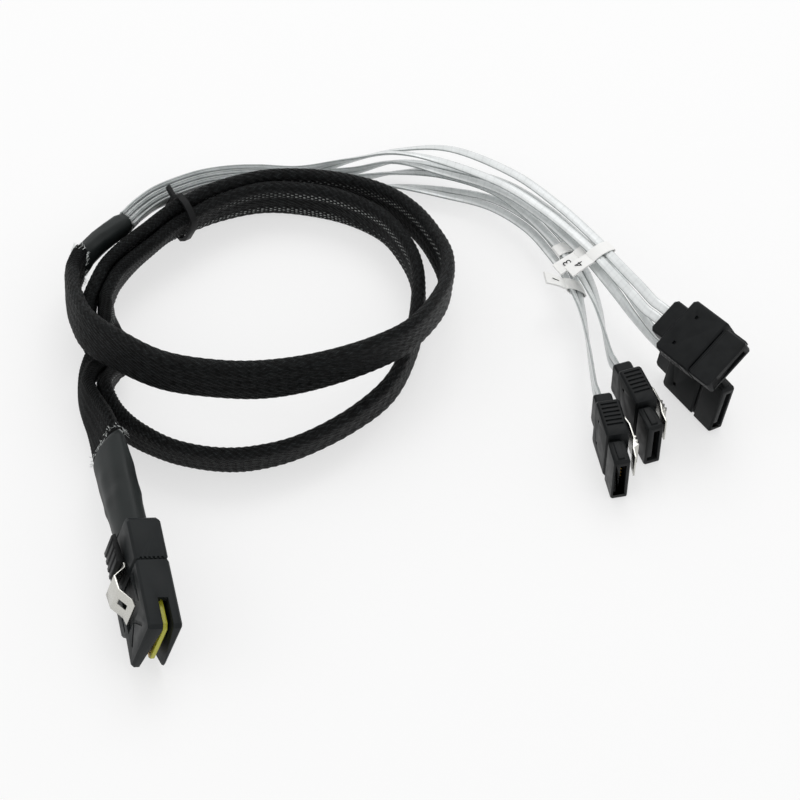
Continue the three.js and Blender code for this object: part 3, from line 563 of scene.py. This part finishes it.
def rounded_strip(thickness, width, count, round_share=1.0):
    """Evenly spaced points of a flat section with round edges: thickness first, then width."""
    radius = thickness / 2 * round_share
    dense = []
    for sx, sy, start in ((1, 1, 0), (-1, 1, 90), (-1, -1, 180), (1, -1, 270)):
        for k in range(17):
            angle = math.radians(start + 90 * k / 16)
            dense.append(Vector((sx * (thickness / 2 - radius) + radius * math.cos(angle),
                                 sy * (width / 2 - radius) + radius * math.sin(angle))))
    dense.append(dense[0])
    total = length_of(dense)
    points, gone, i = [], 0.0, 0
    for k in range(count):
        aim = total * k / count
        while gone + (dense[i + 1] - dense[i]).length < aim:
            gone += (dense[i + 1] - dense[i]).length
            i += 1
        points.append(dense[i].lerp(dense[i + 1], (aim - gone) / (dense[i + 1] - dense[i]).length))
    return points


def new_piece(name, points, faces):
    """A new object in the scene from its points and faces."""
    mesh = bpy.data.meshes.new(name)
    mesh.from_pydata(points, [], faces)
    made = bpy.data.objects.new(name, mesh)
    bpy.context.scene.collection.objects.link(made)
    return made


def skin(name, rings, uv_name=None, uv=None):
    """A closed tube over rings of points. uv gives the coordinates of point i of ring j."""
    count = len(rings[0])
    faces, corners = [], []
    for j in range(len(rings) - 1):
        for i in range(count):
            k = (i + 1) % count
            faces.append((j * count + i, j * count + k, (j + 1) * count + k, (j + 1) * count + i))
            corners.append(((i, j), (i + 1, j), (i + 1, j + 1), (i, j + 1)))
    last = (len(rings) - 1) * count
    faces.append(tuple(reversed(range(count))))
    faces.append(tuple(last + i for i in range(count)))
    obj = new_piece(name, [p for ring in rings for p in ring], faces)
    mesh = obj.data
    if uv:
        layer = mesh.uv_layers.new(name=uv_name)
        values = [uv(i, j) for face in corners for i, j in face]
        values += [(0, 0)] * (2 * count)
        layer.data.foreach_set("uv", np.array(values, float).ravel())
    make_outward(obj)
    mesh.polygons.foreach_set("use_smooth", [True] * len(mesh.polygons))
    return obj


# Work on single pieces


def pick(obj):
    """Leaves this piece alone selected and active."""
    for other in bpy.context.selected_objects:
        other.select_set(False)
    obj.select_set(True)
    bpy.context.view_layer.objects.active = obj


def in_edit_mode(obj, *steps):
    pick(obj)
    bpy.ops.object.mode_set(mode="EDIT")
    bpy.ops.mesh.select_all(action="SELECT")
    for step in steps:
        step()
    bpy.ops.object.mode_set(mode="OBJECT")


def make_outward(obj):
    in_edit_mode(obj, lambda: bpy.ops.mesh.normals_make_consistent(inside=False))


def modify(obj, kind, **settings):
    """Adds a modifier and applies it."""
    pick(obj)
    made = obj.modifiers.new(kind.title(), kind)
    for name, value in settings.items():
        setattr(made, name, value)
    bpy.ops.object.modifier_apply(modifier=made.name)


def place_mesh(obj, matrix):
    """Moves a piece's place from its object into its mesh."""
    bpy.context.view_layer.update()
    obj.data.transform(matrix @ obj.matrix_world)
    obj.matrix_world = Matrix.Identity(4)


def finish_piece(obj, look, body="cable", nodes=()):
    """Gives a piece its material and its body, and hides the nodes that it stands for."""
    obj.data.materials.clear()
    obj.data.materials.append(look)
    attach(obj, body)
    if nodes:
        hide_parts(*nodes)
    return obj


def block(name, low, high):
    """A block between two corners, in millimetres of its own frame."""
    middle = [(a + b) / 2 * MM for a, b in zip(low, high)]
    size = [(b - a) * MM for a, b in zip(low, high)]
    bpy.ops.mesh.primitive_cube_add(size=1, location=middle, scale=size)
    made = bpy.context.active_object
    made.name = name
    place_mesh(made, Matrix.Identity(4))
    return made


def plug_matrix():
    """The matrix from the mini SAS plug's own frame to the part's."""
    at, forward, up = (Vector(row) for row in PLUG_FRAME)
    side = up.cross(forward)
    turn = Matrix((forward, side, up)).transposed().to_4x4()
    return Matrix.Translation(at) @ turn


# Where a copy of a node is welded, taken as flat, rounded and shaded smooth
WELD_DISTANCE = 2e-6
FLAT_ANGLE, EDGE_ANGLE, SMOOTH_ANGLE = (math.radians(value) for value in (0.5, 30, 40))


def copy_of(node, name, edge, matrix=None, cutters=()):
    """A copy of a node in one merged shell, cut where details go, with its edges rounded."""
    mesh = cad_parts[node].data.copy()
    made = bpy.data.objects.new(name, mesh)
    bpy.context.scene.collection.objects.link(made)
    in_edit_mode(
        made,
        lambda: bpy.ops.mesh.remove_doubles(threshold=WELD_DISTANCE),
        lambda: bpy.ops.mesh.dissolve_limited(angle_limit=FLAT_ANGLE),
    )
    for cutter in cutters:
        place_mesh(cutter, matrix)
        modify(made, "BOOLEAN", operation="DIFFERENCE", solver="EXACT", object=cutter)
        bpy.data.objects.remove(cutter)
    modify(made, "BEVEL", width=edge, segments=2, limit_method="ANGLE",
           angle_limit=EDGE_ANGLE, use_clamp_overlap=True)
    pick(made)
    bpy.ops.object.shade_smooth_by_angle(angle=SMOOTH_ANGLE)
    return made


def dress(node, name, look, slot, edge, body="cable", **cuts):
    """A finished copy of a node, in its place."""
    finish_piece(copy_of(node, name, edge, **cuts), look, body, [node])


# Pieces

# The braid: how its strands run, and how it lies over four pairs of leads, in millimetres
STRAND_ANGLE = math.radians(35)
RELIEF_SHARE = 0.6
RIDGE_HEIGHT = 0.09
RIDGE_PITCH = 2.8
WOBBLE = 0.12
BUNCHED_BULGE = 0.8


class CABLE_OT_sleeve(bpy.types.Operator):
    """Add the flat braided sleeve in its two turns"""

    bl_idname = "cable.sleeve"
    bl_label = "Braided sleeve"

    def execute(self, context):
        sizes = context.scene.cable_sleeve
        rows = SLEEVE_ROUTE
        total = length_of([Vector(spline(rows, k / 600)[:3]) for k in range(601)])
        section_length = length_of(rounded_strip(sizes.thickness, sizes.width, 120))
        around = 2 * round(section_length / sizes.strand_pitch)
        # A strand runs at an angle to the sleeve, so a cell is longer than it is wide
        cell = sizes.strand_pitch / math.tan(STRAND_ANGLE)
        steps = 2 * round(total / cell)
        section = rounded_strip(sizes.thickness, sizes.width, around, 0.98)
        rings, sides = [], []
        for j in range(steps + 1):
            middle, _, width, across, share = frame_at(rows, j / steps)
            inward = (Vector(COIL_MIDDLE) - middle) @ across
            bulge = 1 + (1 - share) * BUNCHED_BULGE
            ring = []
            for i, point in enumerate(section):
                flat = 1 - abs(point.y) / (sizes.width / 2)
                # Four pairs of leads press soft ridges into both flats
                ridge = (RIDGE_HEIGHT * MM * math.cos(point.y * 2 * math.pi / (RIDGE_PITCH * MM))
                         * min(1, flat * 4))
                relief = sizes.relief if (i + j) % 2 else -sizes.relief
                place = Vector((j * 0.05, point.y * 200, math.copysign(3, point.x)))
                wobble = WOBBLE * MM * noise.noise(place)
                out = relief * RELIEF_SHARE + ridge + wobble
                normal = Vector((point.x, point.y * (0.15 if flat > 0.1 else 1))).normalized()
                spot = point + normal * out
                ring.append(middle + across * spot.x * bulge + width * spot.y * share)
                sides.append(1.0 if point.x * inward > 0 else 0.0)
            rings.append(ring)
        sleeve = skin("sleeve_braid", rings, "Braid", lambda i, j: (i / 2, j / 2))
        # The silver of the leads, with a painted glint on it, shows through the braid only on the
        # flat that faces the coil's middle
        sleeve.data.attributes.new("coil_side", "FLOAT", "POINT").data.foreach_set("value", sides)
        finish_piece(sleeve, braided_nylon(sizes), nodes=["braided_sleeve"])
        return {"FINISHED"}


# The cores under a tube: how far their ridges and its dents stand out, as shares of its radius
CORE_RIDGE = 0.022
TUBE_DENT = 0.03


class CABLE_OT_heat_shrinks(bpy.types.Operator):
    """Add the two heat-shrink tubes over the ends of the sleeve"""

    bl_idname = "cable.heat_shrinks"
    bl_label = "Heat-shrink tubes"

    def execute(self, context):
        plugs = context.scene.cable_plugs
        look = moulded("polyolefin_heat_shrink", plugs.rubber, 1.1 * MM, 0.5, 0.24, 0.05)
        for name, node, frames, sections in (
            ("boot_tube", "plug_boot", BOOT_FRAMES, BOOT_SECTIONS),
            ("breakout_tube", "breakout_shrink", SHRINK_FRAMES, SHRINK_SECTIONS),
        ):
            rings, sides, steps = [], 48, 60
            table = np.array(sections)
            for j in range(steps + 1):
                # Close rings at both lips, so that each keeps its round edge
                share = 0.5 - 0.5 * math.cos(math.pi * j / steps)
                place = min(share * (len(frames) - 1), len(frames) - 1 - 1e-9)
                first, second = (np.array(frames[int(place) + k]) for k in (0, 1))
                part = place - int(place)
                middle, width, across = (
                    Vector(first[k] + (second[k] - first[k]) * part) for k in range(3))
                width.normalize()
                across.normalize()
                wide, deep = (np.interp(share, table[:, 0], table[:, k]) * MM for k in (1, 2))
                ring = []
                for i in range(sides):
                    angle = 2 * math.pi * i / sides
                    x, y = math.cos(angle), math.sin(angle)
                    # Eight cores show as soft lengthwise ridges, deepest in the tube's middle
                    ridge = 1 + CORE_RIDGE * math.sin(math.pi * share) * math.cos(8 * angle)
                    dent = 1 + TUBE_DENT * noise.noise(Vector((x * 1.5, y * 1.5, share * 5)))
                    spot = width * x * wide / 2 + across * y * deep / 2
                    ring.append(middle + spot * ridge * dent)
                rings.append(ring)
            finish_piece(skin(name, rings), look, nodes=[node])
        return {"FINISHED"}


# The frays: name, end of the sleeve, way out of it, seed of the draws and reach in millimetres
FRAYS = [("boot_fray", 0.0, -1, 5, 2.6), ("breakout_fray", 1.0, 1, 8, 1.5)]
FRAY_LIFT = 0.15


class CABLE_OT_frays(bpy.types.Operator):
    """Add the frayed fibres of the braid where the heat-shrink tubes hold it"""

    bl_idname = "cable.frays"
    bl_label = "Frayed fibres"

    def execute(self, context):
        sizes = context.scene.cable_sleeve
        # The cut fibres take the glint colour: a painted glint on the dark nylon
        look = moulded("cut_nylon_fibre", sizes.glint, 0.5 * MM, 0.5, 0.4)
        section = rounded_strip(sizes.thickness + 0.3 * MM, sizes.width + 0.3 * MM, 120)
        for name, t, way, seed, reach in FRAYS:
            middle, heading, width, across, _ = frame_at(SLEEVE_ROUTE, t)
            draw = random.Random(seed)
            points, faces = [], []
            for _ in range(sizes.fray_count):
                edge = section[draw.randrange(len(section))]
                outward = (across * edge.x * 2 + width * edge.y * 0.5).normalized()
                start = (middle + across * edge.x + width * edge.y
                         - heading * way * draw.uniform(0.5, 2.0) * MM)
                sideways = outward.cross(heading)
                bend = sideways * draw.uniform(-0.8, 0.8)
                long = draw.uniform(0.5, 1.0) * reach * MM
                thick = draw.uniform(0.05, 0.09) * MM
                for step in range(4):
                    share = step / 3
                    spot = (start + heading * way * (0.7 * share) * long
                            + outward * (FRAY_LIFT * MM + 0.35 * long * share**2)
                            + bend * long * share**2)
                    for corner in range(3):
                        angle = corner * 2 * math.pi / 3
                        ray = sideways * math.cos(angle) + outward * math.sin(angle)
                        points.append(spot + ray * thick * (1 - 0.5 * share))
                base = len(points) - 12
                for step in range(3):
                    for corner in range(3):
                        a, b = base + step * 3 + corner, base + step * 3 + (corner + 1) % 3
                        faces.append((a, b, b + 3, a + 3))
                faces += [(base + 2, base + 1, base), (base + 9, base + 10, base + 11)]
            fray = new_piece(name, points, faces)
            make_outward(fray)
            finish_piece(fray, look)
        return {"FINISHED"}


# Points round a lead and rings along it, and the two leads of a pair with their sides
LEAD_SIDES, LEAD_STEPS = 20, 150
PAIR_LEADS = (("a", 1), ("b", -1))


def lead_section(sides):
    """Two round cores with a shallow crease between them: shares of half the lead's thickness
    and width."""
    section = []
    for i in range(sides):
        angle = 2 * math.pi * i / sides
        y = math.cos(angle)
        lobe = 0.66
        if abs(y) < 0.8:
            lobe += 0.34 * math.sin(math.pi * min(1, abs(y) * 1.25)) ** 0.8
        section.append((math.copysign(abs(math.sin(angle)) ** 0.6, math.sin(angle)) * lobe, y))
    return section


class CABLE_OT_leads(bpy.types.Operator):
    """Add the eight flat twin leads from the breakout to the SATA plugs"""

    bl_idname = "cable.leads"
    bl_label = "Leads"

    def execute(self, context):
        sizes = context.scene.cable_leads
        look = clear_jacket(sizes)
        section = lead_section(LEAD_SIDES)
        for pair, rows in enumerate(PAIR_ROUTES, 1):
            for letter, side in PAIR_LEADS:
                rings, run = [], [0.0]
                for j in range(LEAD_STEPS + 1):
                    middle, _, width, across, _ = frame_at(rows, j / LEAD_STEPS, side)
                    if rings:
                        run.append(run[-1] + (middle - last).length)
                    last = middle
                    rings.append([
                        middle + across * x * sizes.thickness / 2 + width * y * sizes.width / 2
                        for x, y in section])
                name = f"lead_{pair}{letter}"
                lead = skin(f"{name}_jacket", rings, "Lead",
                            lambda i, j, run=run: (i / LEAD_SIDES, run[j]))
                finish_piece(lead, look, nodes=[name])
        return {"FINISHED"}


class CABLE_OT_labels(bpy.types.Operator):
    """Add the white labels, each folded round a pair of leads, with their numerals"""

    bl_idname = "cable.labels"
    bl_label = "Labels"

    def execute(self, context):
        sizes = context.scene.cable_leads
        stock = label_stock(sizes.label)
        ink = moulded("black_label_ink", sizes.ink, 0.4 * MM, 0.6, 0.3)
        for index, (middle, tangent, width, across, spread, side) in enumerate(LABEL_FRAMES, 1):
            middle, tangent, width, across = (Vector(v) for v in (middle, tangent, width, across))
            wall = LABEL_WALL * MM
            w = spread + sizes.width / 2 + LABEL_PLAY * MM + wall / 2
            h = sizes.thickness / 2 + LABEL_PLAY * MM + wall / 2
            # One strip: out along the flag, round the pair, and back on its own glue
            line = [(w + LABEL_FLAG * MM * k / 6, wall / 2) for k in range(6, -1, -1)]
            line += [(w * math.cos(a) if abs(math.cos(a)) < 0.9 else math.copysign(w, math.cos(a)),
                      h * math.sin(a) if abs(math.sin(a)) < 0.9 else math.copysign(h, math.sin(a)))
                     for a in (math.radians(d) for d in range(20, 341, 20))]
            line += [(w + LABEL_FLAG * MM * k / 6, -wall / 2) for k in range(7)]
            half = LABEL_LENGTH * MM / 2
            points, faces, cuts = [], [], 6
            for k in range(cuts + 1):
                along = -half + 2 * half * k / cuts
                for x, y in line:
                    far = max(0, x - w) / (LABEL_FLAG * MM)
                    curl = LABEL_CURL * MM * far**2 * (1 + 0.4 * along / half)
                    points.append(middle + width * side * x - across * (y + curl) + tangent * along)
            for k in range(cuts):
                for i in range(len(line) - 1):
                    a = k * len(line) + i
                    faces.append((a, a + 1, a + 1 + len(line), a + len(line)))
            strip = new_piece(f"label_{index}_strip", points, faces)
            modify(strip, "SOLIDIFY", thickness=wall * 0.8, offset=0)
            pick(strip)
            bpy.ops.object.shade_smooth_by_angle(angle=math.radians(35))
            finish_piece(strip, stock, nodes=[f"label_{index}"])
            # The numeral is printed on both faces of the flag
            for face, name in ((1, "top"), (-1, "under")):
                pick(strip)
                bpy.ops.object.text_add()
                text = context.active_object
                text.data.body = str(index)
                text.data.size = NUMERAL_SIZE * MM
                text.data.extrude = NUMERAL_DEPTH * MM
                text.data.align_x = "CENTER"
                text.data.align_y = "CENTER"
                bpy.ops.object.convert(target="MESH")
                text = context.active_object
                text.name = f"numeral_{index}_{name}"
                out = -across * face
                right = tangent * face
                up = out.cross(right)
                turn = Matrix((right, up, out)).transposed().to_4x4()
                spot = middle + width * side * (w + LABEL_FLAG * MM * 0.5) - across * 0.14 * MM
                place_mesh(text, Matrix.Translation(spot + out * wall * 1.12) @ turn)
                finish_piece(text, ink)
        return {"FINISHED"}


class CABLE_OT_tie(bpy.types.Operator):
    """Add the rubber tie round both turns of the sleeve"""

    bl_idname = "cable.tie"
    bl_label = "Cable tie"

    def execute(self, context):
        plugs = context.scene.cable_plugs
        look = moulded("black_rubber_tie", plugs.tie, 0.6 * MM, 0.5, 0.15)
        dress("cable_tie", "tie_band", look, "tie", 0.3 * MM)
        return {"FINISHED"}


def housing_cutters():
    """The grooves of the housing, and the flare of its slot towards the low end."""
    cutters = []
    # A groove along each side of the latch face, and the slanted pair in front of them
    for y in (-6.6, 6.6):
        cutters.append(block("groove", (13.4, y - 0.35, 3.4), (20.6, y + 0.35, 4.4)))
    for way in (-1, 1):
        slant = block("groove", (-0.45, -3.2, 3.4), (0.45, 3.2, 4.4))
        slant.data.transform(Matrix.Translation(Vector((24.2, way * 2.3 + 1.0, 0)) * MM)
                             @ Matrix.Rotation(math.radians(way * -38), 4, "Z"))
        cutters.append(slant)
    # Two sink lines along the plain face
    for y in (-5.0, 5.0):
        cutters.append(block("groove", (14.0, y - 0.3, -4.4), (24.0, y + 0.3, -3.55)))
    flare = block("flare", (21.6, -8.6, -3.0), (30.0, 9.0, 1.8))
    for vertex in flare.data.vertices:
        low_end, rear = vertex.co.y < 0, vertex.co.x < 25 * MM
        half = FLARE_REAR if rear else FLARE_LOW if low_end else FLARE_HIGH
        vertex.co.z = CARD_Z * MM + math.copysign(half * MM, vertex.co.z - CARD_Z * MM)
    return [*cutters, flare]


class CABLE_OT_mini_sas(bpy.types.Operator):
    """Add the mini SAS plug: rear cover, housing with its grooves, and the card with its fingers"""

    bl_idname = "cable.mini_sas"
    bl_label = "Mini SAS plug"

    def execute(self, context):
        plugs = context.scene.cable_plugs
        place = plug_matrix()
        nylon = moulded("spark_eroded_nylon", plugs.housing, plugs.grain, 0.48, 0.13)
        dress("plug_rear_cover", "rear_cover_shell", nylon, "plug", plugs.edge)
        dress("plug_housing", "housing_shell", nylon, "plug", plugs.edge, matrix=place,
              cutters=housing_cutters())
        epoxy = glass_epoxy("glass_epoxy_edge", plugs.card)
        dress("paddle_card", "card_blank", epoxy, "card", 0.06 * MM)
        gold = plated("gold_fingers", plugs.gold)
        mask = glass_epoxy("green_solder_mask", plugs.mask)
        for face, side in ((1, "top"), (-1, "under")):
            low, high = sorted(CARD_Z + face * (CARD_HALF + out) for out in (0, PLATING))
            sheet = block(f"solder_mask_{side}", (14.6, CARD_LOW_Y, low), (24.8, CARD_HIGH_Y, high))
            modify(sheet, "BEVEL", width=0.02 * MM, segments=1)
            place_mesh(sheet, place)
            finish_piece(sheet, mask)
            row = None
            for k in range(plugs.finger_count):
                y = CARD_MIDDLE_Y + (k - (plugs.finger_count - 1) / 2) * plugs.finger_pitch / MM
                y = min(max(y, CARD_LOW_Y), CARD_HIGH_Y)
                top = high + (FINGER_RISE if face > 0 else 0)
                finger = block("finger", (25.2, y - 0.2, low), (28.0, y + 0.2, top))
                modify(finger, "BEVEL", width=0.02 * MM, segments=1)
                if row is None:
                    row = finger
                    continue
                pick(row)
                finger.select_set(True)
                bpy.ops.object.join()
            row.name = f"fingers_{side}"
            place_mesh(row, place)
            finish_piece(row, gold)
        return {"FINISHED"}


class CABLE_OT_mini_sas_latch(bpy.types.Operator):
    """Add the steel leaf of the mini SAS plug and its press pad"""

    bl_idname = "cable.mini_sas_latch"
    bl_label = "Mini SAS latch"

    def execute(self, context):
        plugs = context.scene.cable_plugs
        body = "plug_latch_spring"
        steel = brushed_steel(plugs.steel)
        dress("plug_latch", "latch_leaf", steel, "steel", 0.08 * MM, body)
        look = moulded("moulded_press_pad", plugs.pad, plugs.grain, 0.45, 0.13)
        dress("plug_latch_pad", "press_pad", look, "pad", 0.14 * MM, body)
        return {"FINISHED"}


class CABLE_OT_sata_plugs(bpy.types.Operator):
    """Add the four SATA plugs: ribbed bodies, noses and contacts"""

    bl_idname = "cable.sata_plugs"
    bl_label = "SATA plugs"

    def execute(self, context):
        plugs = context.scene.cable_plugs
        body_look = moulded("moulded_pbt_body", plugs.serial, plugs.grain, 0.46, 0.12)
        nose_look = moulded("moulded_pbt_nose", plugs.serial, plugs.grain * 0.8, 0.42, 0.14)
        # Deep in a mouth the plating is in shade
        gold = plated("gold_contacts", [c * 0.35 for c in plugs.gold])
        for index in range(1, 5):
            name = f"sata_{index}"
            dress(f"{name}_body", f"{name}_shell", body_look, "sata", plugs.edge)
            dress(f"{name}_nose", f"{name}_mouth", nose_look, "nose", plugs.edge * 0.8)
            dress(f"{name}_contacts", f"{name}_comb", gold, "contact", 0.04 * MM)
        return {"FINISHED"}


class CABLE_OT_sata_latches(bpy.types.Operator):
    """Add the toothed steel latches of the SATA plugs"""

    bl_idname = "cable.sata_latches"
    bl_label = "SATA latches"

    def execute(self, context):
        steel = bpy.data.materials.get("rolled_spring_steel") or brushed_steel(
            context.scene.cable_plugs.steel)
        for index in range(1, 5):
            node = f"sata_{index}_latch"
            dress(node, f"sata_{index}_leaf", steel, "steel", 0.06 * MM, f"{node}_spring")
        return {"FINISHED"}


class CABLE_OT_declare_cords(bpy.types.Operator):
    """An empty step: it does nothing and finishes."""

    bl_idname = "cable.declare_cords"
    bl_label = "Declare the cords"

    def execute(self, context):
        return {"FINISHED"}


class CABLE_OT_stage(bpy.types.Operator):
    """Add the camera, the white table and the soft lamps"""

    bl_idname = "cable.stage"
    bl_label = "Stage"

    def execute(self, context):
        stage = context.scene.cable_stage
        scene = context.scene
        bpy.ops.object.camera_add(location=CAMERA_PLACE)
        camera = context.active_object
        camera.name = "camera"
        aim = Vector(CAMERA_AIM) - Vector(CAMERA_PLACE)
        camera.rotation_euler = aim.to_track_quat("-Z", "Y").to_euler()
        camera.data.lens = CAMERA_LENS
        camera.data.sensor_width = CAMERA_SENSOR
        camera.data.clip_start = 0.01
        scene.camera = camera
        bpy.ops.mesh.primitive_plane_add(size=TABLE_SIZE, location=(0, 0, -TABLE_DROP))
        floor = context.active_object
        floor.name = "table_top"
        made, tree, shader = new_material("white_table")
        fleck = clouds(tree, object_place(tree), 12.0, 2.0)
        feed(tree, shader, {
            "Base Color": mixed(tree, fleck, rgba(stage.floor), rgba(stage.floor, 0.995)),
            "Roughness": 0.9, "Specular IOR Level": 0.1,
        })
        # The table shows white, and keeps a share of the shadow on it
        share = calc(tree, "MULTIPLY", seen_directly(tree), TABLE_WHITE)
        white = add_node(tree, "ShaderNodeEmission", {"Color": (1, 1, 1, 1), "Strength": 1.0})
        both = add_node(tree, "ShaderNodeMixShader", {
            0: share, 1: shader.outputs[0], 2: white.outputs[0]})
        output = next(n for n in tree.nodes if n.type == "OUTPUT_MATERIAL")
        tree.links.new(both.outputs[0], output.inputs["Surface"])
        floor.data.materials.append(made)
        world = bpy.data.worlds.new("white_room")
        scene.world = world
        world.use_nodes = True
        tree = world.node_tree
        tree.nodes.clear()
        room = remap(tree, seen_directly(tree), 0.0, 1.0, stage.world, 1.0)
        sky = add_node(tree, "ShaderNodeBackground", {"Color": (1, 1, 1, 1), "Strength": room})
        add_node(tree, "ShaderNodeOutputWorld", {"Surface": sky.outputs[0]})
        for name, place, size, share in LAMPS:
            bpy.ops.object.light_add(type="AREA", location=place)
            lamp = context.active_object
            lamp.name = name
            lamp.data.size = size
            lamp.data.energy = stage.key * share
            lamp.rotation_euler = (-Vector(place)).to_track_quat("-Z", "Y").to_euler()
        scene.view_settings.view_transform = "Standard"
        return {"FINISHED"}


class CABLE_PT_panel(bpy.types.Panel):
    """Sizes and colours of the cable, and the buttons that build it"""

    bl_idname = "CABLE_PT_panel"
    bl_label = "Breakout cable"
    bl_space_type = "VIEW_3D"
    bl_region_type = "UI"
    bl_category = "Cable"

    def draw(self, context):
        column = self.layout.column(align=True)
        for operator in OPERATORS:
            column.operator(operator.bl_idname)
        for name, group in SETTINGS.items():
            box = self.layout.box()
            for key in group.__annotations__:
                box.prop(getattr(context.scene, name), key)


SETTINGS = {
    "cable_sleeve": CableSleeveSettings,
    "cable_leads": CableLeadSettings,
    "cable_plugs": CablePlugSettings,
    "cable_stage": CableStageSettings,
}
OPERATORS = (
    CABLE_OT_stage, CABLE_OT_sleeve, CABLE_OT_heat_shrinks, CABLE_OT_frays, CABLE_OT_leads,
    CABLE_OT_labels, CABLE_OT_tie, CABLE_OT_mini_sas, CABLE_OT_mini_sas_latch,
    CABLE_OT_sata_plugs, CABLE_OT_sata_latches, CABLE_OT_declare_cords,
)


def register():
    for made in (*SETTINGS.values(), *OPERATORS, CABLE_PT_panel):
        bpy.utils.register_class(made)
    for name, group in SETTINGS.items():
        setattr(bpy.types.Scene, name, PointerProperty(type=group))


def unregister():
    for name in SETTINGS:
        delattr(bpy.types.Scene, name)
    for made in reversed((*SETTINGS.values(), *OPERATORS, CABLE_PT_panel)):
        bpy.utils.unregister_class(made)


def main():
    register()
    for operator in OPERATORS:
        getattr(bpy.ops.cable, operator.bl_idname.split(".")[1])()


if __name__ == "__main__":
    main()
